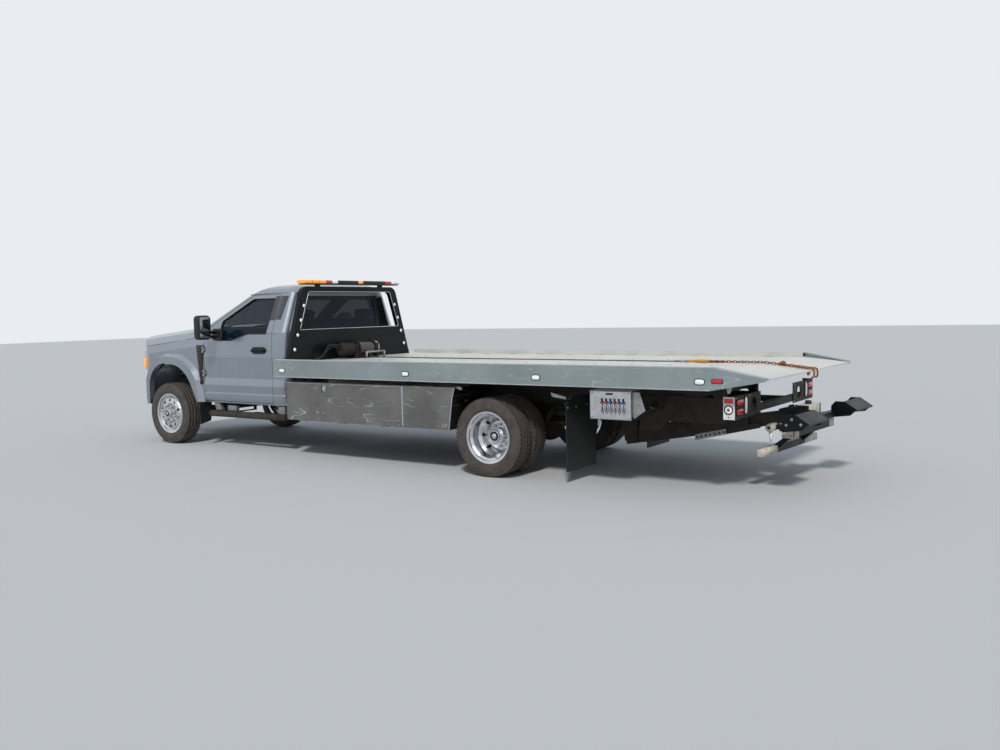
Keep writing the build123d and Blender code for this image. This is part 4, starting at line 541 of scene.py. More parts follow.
def hoop(path, radius, sides=8):
    # a circle carried round a closed path, square to its direction
    path = np.array(path, float)
    ahead = np.roll(path, -1, 0) - np.roll(path, 1, 0)
    ahead /= np.linalg.norm(ahead, axis=1)[:, None]
    guide = np.linalg.svd(path - path.mean(0))[2][2]
    side = np.cross(ahead, guide)
    side /= np.linalg.norm(side, axis=1)[:, None]
    a = turns(sides)[:, None, None]
    grid = path[None] + radius * (np.cos(a) * side[None] + np.sin(a) * np.broadcast_to(guide, path.shape)[None])
    return outward(gridShape(grid, closeV=True))


def around(points, count=60):
    # evenly spaced places along a closed outline's straight sides
    points = np.array(points, float)
    ends = np.roll(points, -1, 0)
    length = np.linalg.norm(ends - points, axis=1)
    reach = np.concatenate([[0], np.cumsum(length)])
    s = np.linspace(0, reach[-1], count, endpoint=False)
    k = np.searchsorted(reach, s, side="right") - 1
    f = ((s - reach[k]) / length[k])[:, None]
    return points[k] * (1 - f) + ends[k] * f


def bolts(spots, radius, tall, facing="y"):
    # six-sided heads with a chamfered top, each on a washer
    profile = [(radius * 1.35, 0), (radius * 1.35, tall * 0.2), (radius, tall * 0.2), (radius, tall * 0.85),
               (radius * 0.85, tall)]
    return [outward(lathe(profile, 6, spot, facing)) for spot in spots]


# tyres
tyreLook = {"radius": 0.4, "shoulder": 0.386, "bead": 0.2625, "blocks": 58, "groove": 0.01}


def tyreShape(middleX, middleY, look):
    # radius over the section follows the wall's bulge; the tread sinks by the groove depth where a rib's edge
    # or a cross cut passes, as a function of the angle and the place across
    wallT = np.linspace(0, 1, 9)
    wallR = look["bead"] + (look["shoulder"] - look["bead"]) * wallT
    wallY = 0.097 + 0.0155 * np.sin(np.pi * np.clip(wallT * 1.02, 0, 1) ** 0.85) ** 0.7
    treadY = np.array([0.1, 0.093, 0.088, 0.068, 0.066, 0.06, 0.058, 0.03, 0.028, 0.022, 0.02, 0.0])
    treadR = look["radius"] - 0.0035 * (treadY / 0.1) ** 2 * 2.2
    y = np.concatenate([wallY, treadY, -treadY[-2::-1], -wallY[::-1]])
    r = np.concatenate([wallR, treadR, treadR[-2::-1], wallR[::-1]])
    tread = r > look["shoulder"] - 0.002
    phase = np.arange(look["blocks"] * 5)[:, None] % 5
    cut = np.isin(np.round(np.abs(y), 3), [0.066, 0.06, 0.028, 0.022]) * 1.0
    cut = np.maximum(cut, (phase < 2) * (np.abs(y) >= 0.066) * 0.8)
    cut = np.maximum(cut, (phase == 3) * (np.abs(y) < 0.06) * 0.55)
    radius = r - look["groove"] * cut * tread
    a = turns(len(phase))[:, None]
    grid = [radius * np.cos(a) + middleX, y + middleY + 0 * radius, radius * np.sin(a) + look["radius"]]
    return gridShape(np.stack(grid, -1), closeV=True)


for name, body, node, places in (("FrontTyre", "left_front_wheel", "front_tyre", [(0, 0.95)]),
                                 ("RearTyres", "left_rear_wheels", "rear_tyres", [(rearX, 1.074), (rearX, 0.808)])):
    tyres = [tyreShape(x, y, tyreLook) for x, y in places]
    for piece, side in zip(bothSides(name, tyres, "tyreRubber", body), ("left_", "right_")):
        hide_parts(side + node)
print("tyres made")

# wheel nuts and hub ends
nutLook = {"ring": 0.112, "count": 10, "radius": 0.016, "tall": 0.045}


def nutRing(middleX, faceY, look):
    # tapered nut covers round the hub, the k-th at angle 2 pi (k + 1/2) / count
    profile = [(look["radius"], 0), (look["radius"], look["tall"] * 0.7), (look["radius"] * 0.7, look["tall"])]
    a = turns(look["count"]) + np.pi / look["count"]
    return [lathe(profile, 12, (middleX + look["ring"] * math.cos(t), faceY,
                                tyreLook["radius"] + look["ring"] * math.sin(t))) for t in a]


def hubEnd(look):
    # what closes the hub: a bright ring, a dark band inside it and a shallow bright dome whose height falls as the
    # square of the distance from the middle; small screws stand on the flange behind
    centre = np.array([look["x"], look["faceY"], tyreLook["radius"]])
    rims = [hoop(circle(centre, r, 32), w) for r, w in look["rings"]]
    band = [(look["dark"], 0.0), (look["dark"], 0.004), (look["dome"], 0.006)]
    middle = dome(disc(look["dome"], centre[[0, 2]], 8), centre[1] + 0.003, look["tall"])
    screws = bolts(circle(centre + [0, look["ringY"], 0], look["ring"], 8), 0.0075, 0.008)
    return rims + screws + [middle], outward(lathe(band, 32, centre))


hubLook = {
    "left_front_wheel": {"x": 0, "faceY": 1.088, "nutY": 1.045, "rings": [(0.041, 0.004), (0.066, 0.005)],
                         "dark": 0.037, "dome": 0.022, "tall": 0.008, "ring": 0.05, "ringY": -0.006},
    "left_rear_wheels": {"x": rearX, "faceY": 1.0595, "nutY": 0.952, "rings": [(0.056, 0.005), (0.079, 0.005)],
                         "dark": 0.048, "dome": 0.03, "tall": 0.014, "ring": 0.07, "ringY": -0.036},
}
for body, look in hubLook.items():
    name = body.split("_")[1].capitalize()
    bothSides(name + "Nuts", nutRing(look["x"], look["nutY"], nutLook), "brightChrome", body)
for body, look in hubLook.items():
    name = body.split("_")[1].capitalize()
    bright, dark = hubEnd(look)
    bothSides(name + "HubRings", bright, "brightChrome", body)
    bothSides(name + "HubBands", dark, "blackPlastic", body)
print("wheel nuts made")

# cab trim
flankHeights = [0.572, 0.636, 0.688, 0.704, 0.798, 0.886, 1.15, 1.33, 1.45, 1.88, 1.93]
flankY = [0.998, 1.016, 1.019, 1.012, 1.022, 1.004, 1.012, 1.006, 0.998, 0.829, 0.806]


def cabSideY(z):
    # the flank's distance from the middle at a height, straight between its creases
    return np.interp(z, flankHeights, flankY)


def sidePanel(edges, proud, thick):
    # a thin panel laid on the flank: rows of height, front place and rear place
    z, front, rear = np.array(edges, float).T
    y = cabSideY(z) + proud
    corners = [(front, y, z), (rear, y, z), (rear, y - thick, z), (front, y - thick, z)]
    return carried(np.stack([np.stack(c, -1) for c in corners], 1))


windowLook = {"corners": [(-1.004, 1.356), (-1.215, 1.356), (-1.52, 1.434), (-1.85, 1.434), (-1.868, 1.858),
                          (-1.48, 1.858), (-1.004, 1.59)], "seal": 0.008}
sealXZ = around(windowLook["corners"], 90)
seal = hoop(np.stack([sealXZ[:, 0], cabSideY(sealXZ[:, 1]) - 0.003, sealXZ[:, 1]], -1), windowLook["seal"], 6)
bothSides("WindowSeal", seal, "blackPlastic", "left_door")
for name, body, rows in (
        ("PillarDoor", "left_door", [(1.434, -1.848, -1.944), (1.66, -1.858, -1.944), (1.888, -1.868, -1.944)]),
        ("PillarCab", "chassis", [(1.432, -1.956, -2.03), (1.66, -1.956, -2.06), (1.888, -1.956, -2.086)])):
    bothSides(name, sidePanel(rows, 0.0015, 0.004), "pillarFilm", body, bevelMm=0.4)
gutterX = np.linspace(-1.4, -2.06, 14)
gutterZ = 1.914 + 0.016 * np.sin(np.pi * (gutterX + 1.4) / -0.9)
bothSides("Gutter", tube(np.stack([gutterX, cabSideY(gutterZ) + 0.002, gutterZ], -1), 0.006), "silverPaint")

handleLook = {"front": -1.6, "back": -1.85, "low": 1.192, "high": 1.277, "paddleLow": 1.211, "paddleHigh": 1.254}
front, back, low, high, paddleLow, paddleHigh = handleLook.values()
y = float(cabSideY(1.23))
bezel = pad((back, y - 0.008, low), (front, y + 0.006, high), 0.038, 0.005)
paddle = pad((back + 0.014, y - 0.002, paddleLow), (front - 0.014, y + 0.039, paddleHigh), 0.018, 0.012)
bothSides("HandleBezel", bezel, "blackPlastic", "left_door")
bothSides("HandlePaddle", paddle, "glossBlack", "left_door")

ventLook = {"slats": 13, "top": 1.296, "foot": 0.8, "low": 1.012, "high": 1.028}
ventT = np.linspace(0, 1, ventLook["slats"] + 1)
ventZ = ventLook["foot"] + (ventLook["top"] - ventLook["foot"]) * ventT
ventFront = -0.6 + 0.048 * ventT ** 1.6
ventRear = -0.66 - 0.026 * ventT ** 1.6
bothSides("VentBed", sidePanel(np.stack([ventZ, ventFront, ventRear], -1), 0.01, 0.014), "blackPlastic")
bothSides("VentSlats", [block((rear + 0.006, ventLook["low"], z + 0.006), (front - 0.006, ventLook["high"], z + 0.02))
                        for rear, front, z in zip(ventRear[:-1], ventFront, ventZ)], "smokedChrome")
bothSides("FenderMarker", pad((0.56, 0.94, 0.985), (0.598, 0.986, 1.112), 0.014, 0.008), "amberLens")

mirrorLook = {"back": -1.045, "front": -0.935, "y": 1.25, "halfY": 0.097, "low": 1.372, "high": 1.673,
              "panes": [(0.088, 0.022, 1.563), (0.03, 0.014, 1.425)]}
back, front, mirrorY, half, low, high, panes = mirrorLook.values()
shell = [pad((back, mirrorY - half, low), (front, mirrorY + half, high), 0.045, 0.03, "x", 7),
         pad((-1.075, 0.985, 1.352), (-0.9, 1.04, 1.505), 0.03, 0.014)]
shell += [tube(smoothPath([(-0.955, 0.985, z - 0.02), (-0.965, 1.06, z - 0.012), (-0.985, 1.18, z)], 12), 0.021, 10)
          for z in (1.412, 1.47)]
for piece, node in zip(bothSides("MirrorShell", shell, "blackPlastic", "left_door"), ("left_mirror", "right_mirror")):
    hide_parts(node)
bothSides("MirrorGlass", [slab(roundedOutline(0.078, tall, corner) + [mirrorY, z], back - 0.001, back + 0.006, "x")
                          for tall, corner, z in panes], "mirrorGlass", "left_door")
frames = [roundedOutline(0.08, tall + 0.002, corner + 0.002) + [mirrorY, z] for tall, corner, z in panes]
bothSides("MirrorFrames", [hoop(standing(frame, back, "x"), 0.004, 6) for frame in frames], "blackPlastic", "left_door")


def screenPoint(y, z):
    # the windscreen: it leans back with height and curves back towards both pillars as the square of y
    t = (z - 1.45) / 0.43
    middle, side, half = -0.25 - 0.822 * t, -0.53 - 0.772 * t, 0.898 - 0.169 * t
    return np.stack([side + (middle - side) * (1 - (y / half) ** 2), y, z], -1)


def wiper(foot, tip):
    # an arm from its foot to the blade's middle, and a blade along the glass
    s = np.linspace(0, 1, 10)
    (footY, footZ), runY, runZ = foot, tip[0] - foot[0], tip[1] - foot[1]
    arm = screenPoint(footY + runY * s * 0.6, footZ + runZ * s * 0.6) + [0.028, 0, 0.01]
    reach = 0.18 + 0.82 * s
    blade = screenPoint(footY + runY * reach, footZ + 0.02 + runZ * reach) + [0.012, 0, 0.005]
    return joined([tube(arm, 0.007, 6), tube(blade, 0.006, 6)])


addPiece("Wipers", [wiper((0.62, 1.475), (0.05, 1.53)), wiper((-0.02, 1.475), (-0.6, 1.53))], "blackPlastic")
cowlY = np.linspace(-0.8, 0.8, 33)
addPiece("CowlPanel", tube(screenPoint(cowlY, 1.462 + 0 * cowlY) + [0.03, 0, -0.006], 0.024), "blackPlastic")
print("cab trim made")

# headboard, light bar and winch
boardLook = {"rear": -2.32, "window": [(0.887, 1.478), (0.728, 1.93), (-0.728, 1.93), (-0.887, 1.478)],
             "lamps": [(0.987, 1.248), (0.932, 1.417), (0.872, 1.591), (0.816, 1.763)],
             "bolts": [(1.07, 1.15), (1.02, 1.15), (0.99, 1.33), (0.85, 1.84)]}
rear = boardLook["rear"]
edge = hoop(standing(around(boardLook["window"], 120), rear - 0.001, "x"), 0.005, 6)
addPiece("BoardEdge", edge, "brightChrome", "bed")
lampYZ = [(side * y, z) for y, z in boardLook["lamps"] for side in (1, -1)]
base = [(0.026, 0.0), (0.026, 0.004), (0.022, 0.006)]
bases = [outward(lathe(base, 20, (rear - 0.006, y, z), "x")) for y, z in lampYZ]
boltSpots = [(rear - 0.008, side * y, z) for side in (1, -1) for y, z in boardLook["bolts"]]
addPiece("PillarLampBases", bases + bolts(boltSpots, 0.009, 0.008, "x"), "blackPlastic", "bed")
pillarLens = [dome(disc(0.021, spot), rear - 0.004, -0.009, "x") for spot in lampYZ]

railLook = {"y": 1.295, "long": 0.086, "wide": 0.042, "ovals": [(x, 1.022) for x in (-2.43, -4.27, -5.87, -7.5)],
            "red": (-7.655, 1.03)}
railY, long, wide, spots, red = railLook.values()
railLens = [dome(oval(spot, long, wide), railY + 0.003, 0.009) for spot in spots]
markerPiece = addPiece("MarkerLenses", pillarLens + railLens + [reflected(s) for s in railLens], "clearLens", "bed")
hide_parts("marker_lamps")
bothSides("RailLampBezels", [slab(oval(spot, long + 0.014, wide + 0.014), railY, railY + 0.004) for spot in spots],
          "blackRubber", "bed")
bothSides("RailRedBezel", slab(roundedOutline(0.05, 0.02, 0.006) + red, railY, 1.3), "blackRubber", "bed")
bothSides("RailRedLens", dome(roundedOutline(0.044, 0.015, 0.005) + red, 1.299, 0.007), "redLens", "bed")

barLook = {
    "x": -2.325, "half": 0.072, "low": 2.013, "high": 2.0655, "long": 0.843, "feet": (0.56, -0.56),
    "lenses": {"amberLens": [(0.853, 0.5), (-0.06, -0.15)], "redLens": [(0.496, 0.405), (-0.56, -0.68)],
               "clearLens": [(0.401, 0.3), (-0.684, -0.853)], "blackPlastic": [(0.296, -0.056), (-0.154, -0.556)]},
    "joints": (0.498, 0.403, 0.298, -0.058, -0.152, -0.558, -0.682, 0.73, 0.615, -0.77)}
barX, half, low, high, long, feet, lenses, joints = barLook.values()
base = [pad((barX - 0.066, -long, low), (barX + 0.066, long, low + 0.016), 0.03, 0.006, "z")]
base += [block((barX + 0.005, y - 0.03, 1.985), (barX + 0.045, y + 0.03, 2.018)) for y in feet]
barPiece = addPiece("LightBarBase", base, "blackPlastic", "bed")
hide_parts("light_bar")
for finish, spans in lenses.items():
    addPiece("BarLens_" + finish, [pad((barX - half, start, low + 0.012), (barX + half, end, high), 0.018, 0.003)
                                   for end, start in spans], finish, "bed")
half += 0.0008
addPiece("BarJoints", [pad((barX - half, y - 0.004, low + 0.014), (barX + half, y + 0.004, high - 0.0006), 0.017, 0.001)
                       for y in joints], "blackPlastic", "bed")

winchLook = {"x": -2.49, "z": 1.224, "rope": 0.0062, "drum": 0.064, "pitch": 0.0125, "ropeZ": 1.1125}
x, z, rope, drum, pitch, ropeZ = winchLook.values()
wrapY = np.linspace(-0.134, 0.134, 87)
wrapR = drum + rope * 1.9 * np.abs(np.sin(np.pi * wrapY / pitch)) ** 0.6
windings = lathe(np.stack([wrapR, wrapY], -1), 40, (x, 0, z))
lead = smoothPath([(x - 0.01, 0, z + 0.066), (x - 0.072, 0, z - 0.005), (-2.64, 0, 1.128), (-2.8, 0, ropeZ)], 16)
run = np.stack([np.linspace(-2.9, -6.835, 40), 0.004 * np.sin(np.linspace(0, 7, 40)), np.full(40, ropeZ)], -1)
ropePiece = addPiece("WinchRope", [tube(np.vstack([lead, run]), rope), windings], "wireRope", "bed")
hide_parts("winch_line")
addPiece("RopeFerrule", tube([(-6.7, 0, 1.1145), (-6.82, 0, 1.1145)], 0.011, 10), "zincPlate", "bed")
ribs = [[(0.0705, y - 0.004), (0.077, y - 0.003), (0.077, y + 0.003), (0.0705, y + 0.004)]
        for y in np.linspace(0.21, 0.37, 7)]
boltSpots = [(x + dx, 0.19, z + dz) for dz in (0.04, -0.07) for dx in (-0.06, 0.06)]
addPiece("WinchBits", bolts(boltSpots, 0.011, 0.01) + [outward(lathe(rib, 28, (x, 0, z))) for rib in ribs],
         "castIron", "bed")
gearEnd = [(0.03, -0.235), (0.078, -0.23), (0.088, -0.215), (0.088, -0.191), (0.07, -0.19)]
addPiece("WinchGearEnd", outward(lathe(gearEnd, 32, (x, 0, z))), "zincPlate", "bed")
addPiece("WinchHoses", [tube(smoothPath([(x, 0.405, 1.24 + k * 0.03), (x + 0.05, 0.5 + k * 0.03, 1.26 + k * 0.02),
                                         (x + 0.08, 0.62, 1.16), (x + 0.1, 0.7 + k * 0.04, 1.112)], 22), 0.01)
                        for k in range(2)], "blackRubber", "bed")
addPiece("RopeGuide", [tube([(-2.7, y, 1.112), (-2.7, y, 1.19)], 0.014, 12) for y in (-0.16, 0.16)]
         + [tube([(-2.7, -0.16, 1.183), (-2.7, 0.16, 1.183)], 0.012, 12),
            block((-2.725, -0.19, 1.1045), (-2.675, 0.19, 1.112))], "zincPlate", "bed")
print("headboard and winch made")

# hook and chain at the tail
hookLook = {"eye": -6.85, "z": 1.118, "wire": 0.0075}
eyeX, z, wire = hookLook.values()
curve = smoothPath([(-6.872, 0.0, z), (-6.92, 0.003, z), (-6.965, 0.02, z), (-7.01, 0.034, z), (-7.05, 0.028, z),
                    (-7.066, 0.0, z), (-7.05, -0.026, z), (-7.012, -0.034, z), (-6.978, -0.03, z)], 44)
hookRadius = wire * (1 + np.sin(np.linspace(0.25, np.pi * 0.97, 44)) ** 1.2)
addPiece("TowHook", [hoop(circle((eyeX, 0, z), 0.022, 20, "z"), 0.009), tube(curve, hookRadius, 10),
                     tube([(-6.93, -0.004, z + 0.01), (-6.985, -0.03, z + 0.01)], 0.005, 6)], "hookYellow", "bed")


def overDeck(x, y, lift=0.012):
    # the deck is level to its break, then falls to the tail
    return (x, y, 1.104 - max(0, -7.62 - x) * 52 / 450 + lift)


def linkShape(long, wide, wire, count=14):
    # a stadium path in X and Y with a round section of five sides
    a = turns(count)
    x = np.cos(a) * wide / 2 + np.sign(np.cos(a)) * (long - wide) / 2
    return hoop(np.stack([x, np.sin(a) * wide / 2, 0 * a], -1), wire, 5)


def chainRun(start, end, pitch=0.031, wire=0.0042, long=0.04, wide=0.021):
    # links at even steps along the run, each leaning the other way from the last
    start, end = np.array(start, float), np.array(end, float)
    ahead = end - start
    count = int(np.linalg.norm(ahead) / pitch)
    level, climb = math.atan2(ahead[1], ahead[0]), math.asin(ahead[2] / np.linalg.norm(ahead))
    links = []
    for k in range(count):
        link = turned(linkShape(long, wide, wire), 0.35 if k % 2 else 1.9, (1, 0, 0))
        link = turned(turned(link, -climb, (0, 1, 0)), level, (0, 0, 1))
        links.append(shifted(link, start + ahead * (k + 0.5) / count))
    return links


chain = []
for start, end in (((-7.06, 0.0), (-7.62, 0.012)), ((-7.62, 0.012), (-7.78, 0.0)), ((-7.78, 0.008), (-7.99, 0.045)),
                   ((-7.78, -0.008), (-7.99, -0.045))):
    chain += chainRun(overDeck(*start), overDeck(*end))
chain += [shifted(turned(linkShape(0.058, 0.034, 0.007, 16), q, (1, 0.4, 0)), overDeck(-7.78, 0.0, 0.018))
          for q in (0.5, 1.7)]
chain += [shifted(turned(linkShape(0.085, 0.042, 0.008, 18), 0.15, (1, 0, 0)), overDeck(x, 0.0, 0.014))
          for x in (-7.095, -7.165)]
chain += [tube(smoothPath([overDeck(-7.985, side * 0.045), overDeck(-8.04, side * 0.05), (-8.082, side * 0.052, 1.062),
                           (-8.092, side * 0.052, 1.03), (-8.088, side * 0.056, 0.992), (-8.068, side * 0.058, 0.982)],
                          24), 0.0085) for side in (1, -1)]
addPiece("TailChain", chain, "rustySteel", "bed")
print("hook and chain made")

# bed rails and deck
lipLook = {"front": -2.292, "break": -7.62, "tail": -8.068, "high": 1.1475, "low": 1.1385}
front, fold, tail, high, low = lipLook.values()
lips = [rect(front, fold, high, low), [(fold, high), (tail, 1.064), (tail, 1.056), (fold, low)],
        [(front, 0.9465), (front, 0.956), (-7.575, 0.956), (-7.582, 0.9465)]]
bothSides("RailLips", [slab(lip, 1.2945, 1.2973, "y", 0.0008) for lip in lips], "buffedAluminium", "bed", smooth=False)
# the deck's slots are thin black sheets laid on it: painted shade for the openings
holes = [((x, side * y), long, wide) for y, long, wide in ((1.165, 0.11, 0.03), (0.42, 0.034, 0.034))
         for x in np.linspace(-2.75, -7.25, 12) for side in (1, -1)]
addPiece("DeckSlots", [slab(oval(spot, long, wide, 5), 1.1035, 1.1047, "z", 0.0004) for spot, long, wide in holes],
         "chassisBlack", "bed", smooth=False)
addPiece("DeckSeams", [slab(rect(-2.3, -7.61, y - 0.004, y + 0.004), 1.1035, 1.1052, "z", 0.0005)
                       for y in np.linspace(-1.02, 1.02, 7)], "deckPlate", "bed", smooth=False)
# pale strips of painted light along each rail's inner edge: one bar against the flange's edge that covers the shade
# under it, and one flat over its top that stands in for its sunlit brightness
railLightLook = {"rear": -7.6, "front": -2.3, "in": 1.2335, "top": 1.1488}
rear, front, inner, top = railLightLook.values()
bothSides("RailLiners", [block((rear, inner, 1.1042), (front, 1.24, top), 0.0008),
                         block((rear, inner, 1.147), (front, 1.28, top), 0.0005)], "deckPlate", "bed", smooth=False)
bothSides("RailTab", slab([(-7.665, 0.972), (-7.725, 0.985), (-7.7, 0.915), (-7.68, 0.915)], 1.12, 1.128),
          "creamEnamel", "bed")
print("bed dressed")

# band round the cab's back window: a black panel of painted shade, standing in for the shadowed cab back beside the
# glass
film = [[(0.664, 1.452), (0.88, 1.44), (0.735, 1.872), (0.604, 1.846)],
        [(-0.604, 1.836), (0.604, 1.836), (0.64, 1.885), (-0.64, 1.885)],
        [(-0.664, 1.464), (-0.664, 1.42), (0.664, 1.42), (0.664, 1.464)]]
film.append([(-y, z) for y, z in film[0]])
addPiece("BackWindowBand", [slab(outline, -2.164, -2.169, "x") for outline in film], "glossBlack", smooth=False)

# toolboxes
boxLook = {"latch": -2.99, "bolt": 1.1995, "lid": "left_toolbox_door",
           "end": [(-4.836, -4.826, 0.884), (-4.806, -4.796, 0.784), (-4.757, -4.748, 0.455)]}
latch, boltY, lid, ends = boxLook.values()
bothSides("BoxSeam", slab(rect(-4.148, -4.132, 0.462, 0.886), 1.1985, 1.2035), "buffedAluminium", smooth=False)
edges = [slab([(outA, zA), (inA, zA), (inB, zB), (outB, zB)], 1.199, 1.202, "y", 0.0006)
         for (outA, inA, zA), (outB, inB, zB) in zip(ends, ends[1:])]
bothSides("BoxEndEdge", edges, "buffedAluminium", smooth=False)
bothSides("BoxLatch", [slab(roundedOutline(0.036, 0.041, 0.008) + [latch, 0.821], 1.1895, 1.1925),
                       pad((latch - 0.024, 1.192, 0.8), (latch + 0.024, 1.2005, 0.842), 0.008, 0.003),
                       lathe([(0.008, 1.192), (0.008, 1.2025), (0.006, 1.204)], 16, (latch + 0.012, 0, 0.836))],
          "brightChrome", lid)
bothSides("BoxBolts", bolts([(x, boltY, 0.47) for x in np.linspace(-2.44, -4.09, 12)], 0.0065, 0.005), "zincPlate", lid)
bothSides("BoxEndBolts", bolts([(x, boltY, z) for x, z in ((-4.19, 0.48), (-4.19, 0.86), (-4.45, 0.48), (-4.7, 0.48),
                                                           (-4.45, 0.86), (-4.76, 0.86))], 0.0065, 0.005), "zincPlate")
bothSides("BoxDrainRing", hoop(standing(oval((-4.7, 0.5), 0.052, 0.024), 1.202), 0.004, 6), "brightChrome")
bothSides("BoxBracket", slab([(-4.8, 0.892), (-4.86, 0.9), (-4.9, 0.88), (-4.88, 0.862), (-4.84, 0.87)],
                             1.15, 1.156), "creamEnamel")
bothSides("LidEdge", slab(rect(-4.126, -2.396, 0.876, 0.8805), 1.199, 1.203, "y", 0.0006), "buffedAluminium", lid,
          smooth=False)
print("toolboxes dressed")

# control boxes
controlLook = {"face": (-6.816, -6.404, 0.656, 0.908), "levers": 6, "pitch": 0.043, "first": -6.525}
edges, levers, pitch, first = controlLook.values()
face = rect(*edges)
leverXs = first - pitch * np.arange(levers)
bothSides("ControlFace", slab(face, 1.2118, 1.2142, "y", 0.0008), "buffedAluminium", smooth=False)
bothSides("ControlRim", hoop(standing(around(face, 40), 1.213), 0.004, 6), "zincPlate")
# the lever slots are thin black sheets on the face: painted shade for the openings
cuts = [roundedOutline(0.011, 0.022, 0.004) + [x, z] for x in leverXs for z in (0.822, 0.738)]
cuts.append(oval((-6.6, 0.884), 0.075, 0.018))
bothSides("ControlSlots", [slab(cut, 1.214, 1.2148, "y", 0.0003) for cut in cuts], "blackPlastic", smooth=False)
bothSides("ControlLevers", [tube(smoothPath([(x, 1.212, 0.8), (x - 0.004, 1.236, 0.792), (x - 0.008, 1.24, 0.762),
                                             (x - 0.01, 1.232, 0.722), (x - 0.004, 1.218, 0.7)], 16), 0.0045, 6)
                            for x in leverXs], "brightChrome")
for finish, picked in (("redKnob", leverXs[[0, 1, 3]]), ("blueKnob", leverXs[[2, 4, 5]])):
    bothSides("Knobs_" + finish, [lathe([(0.004, 0), (0.01, 0.004), (0.012, 0.01), (0.01, 0.016), (0.004, 0.02)], 14,
                                        (x - 0.002, 1.222, 0.806)) for x in picked], finish)
bothSides("ControlGusset", slab([(-6.82, 0.905), (-6.892, 0.903), (-6.945, 0.742), (-6.838, 0.668), (-6.82, 0.69)],
                                1.186, 1.192), "galvanised", smooth=False)
bothSides("ControlBolts", bolts([(x, 1.2135, z) for x in (-6.795, -6.425) for z in (0.672, 0.892)], 0.006, 0.005),
          "zincPlate")

# flap clamps
bothSides("FlapClamp", slab([(1.146, 0.7), (1.146, 0.758), (1.1, 0.8), (0.59, 0.8), (0.59, 0.7)],
                            -6.1001, -6.1075, "x"), "blackRubber", smooth=False)
bothSides("FlapBolts", bolts([(-6.107, y, z) for y, z in ((1.118, 0.73), (0.966, 0.726), (0.76, 0.73),
                                                           (0.63, 0.73))], 0.01, -0.009, "x"), "zincPlate")
bothSides("FlapBar", slab([(-5.912, 0.868), (-5.93, 0.826), (-6.08, 0.806), (-6.085, 0.828)], 1.098, 1.106),
          "zincPlate", smooth=False)
bothSides("FlapStem", slab([(1.146, 0.762), (1.028, 0.836), (1.01, 0.822), (1.13, 0.745)], -6.094, -6.1, "x"),
          "zincPlate", smooth=False)
print("controls and flaps dressed")

# tail lamps and marker plates
tailLook = {"x": -7.738, "lamps": [((1.002, 0.753), False), ((1.002, 0.834), False), ((0.864, 0.796), True)]}
x, spots = tailLook.values()
lamps, rings, backs = [], [], []
for spot, upright in spots:
    lamps.append(dome(oval(spot, 0.15, 0.048, 7, upright), x - 0.006, -0.011, "x"))
    rings.append(hoop(standing(oval(spot, 0.158, 0.056, 7, upright), x - 0.003, "x"), 0.006))
    backs.append(slab(oval(spot, 0.16, 0.054, 7, upright), x - 0.004, x + 0.016, "x"))
redTail = addPiece("TailLampLenses", lamps[:2] + [reflected(lamp) for lamp in lamps[:2]], "redLens")
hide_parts("tail_lamps")
bothSides("TailClearLens", lamps[2], "clearLens")
bothSides("TailLampRings", rings, "blackRubber")
bothSides("TailLampBacks", backs, "blackPlastic")
markerLook = {"red": (-7.683, 0.85), "round": (-7.683, 0.774), "bolt": (-7.683, 1.1128, 0.712)}
red, middle, bolt = markerLook.values()
bothSides("MarkerPlate", slab(rect(-7.737, -7.635, 0.69, 0.884), 1.1102, 1.113), "whiteEnamel", smooth=False)
bothSides("MarkerRed", dome(roundedOutline(0.04, 0.021, 0.004) + red, 1.1128, 0.004), "redLens")
bothSides("MarkerRing", hoop(standing(disc(0.036, middle, 8), 1.114), 0.005), "blackRubber")
bothSides("MarkerRound", dome(disc(0.033, middle, 8), 1.113, 0.006), "clearLens")
bothSides("MarkerCentre", dome(disc(0.014, middle, 6), 1.1185, 0.003), "redLens")
bothSides("PlateBolts", bolts([bolt], 0.006, 0.005)
          + bolts([(-7.7385, y, z) for y, z in ((1.085, 0.871), (0.49, 0.871), (0.49, 0.705), (0.76, 0.871))],
                  0.007, -0.006, "x"), "zincPlate")
bothSides("HoleRing", hoop(standing(disc(0.062, (0.64, 0.787), 10), x, "x"), 0.004, 6), "chassisBlack")
print("tail lamps made")

# wheel lift
liftLook = {"pivot": (-6.265, 0, 0.35), "slope": math.radians(9.6), "swivel": math.radians(-6.0), "swivelAlong": 1.64,
            "beamAlong": 1.745}
pivot, slope, swivel, swivelAlong, beamAlong = liftLook.values()
liftAxis = np.array([-math.cos(slope), 0, math.sin(slope)])
liftNormal = (math.sin(slope), 0, math.cos(slope))
swivelPoint = pivot + liftAxis * swivelAlong
beamX, beamZ = (pivot + liftAxis * beamAlong)[[0, 2]]


def addCrossbarPiece(name, shapes, finish, **more):
    # parts that swing with the crossbar, which stands a little askew in the photograph
    addPiece(name, [turned(s, swivel, liftNormal, swivelPoint) for s in shapes], finish, "lift_crossbar", **more)


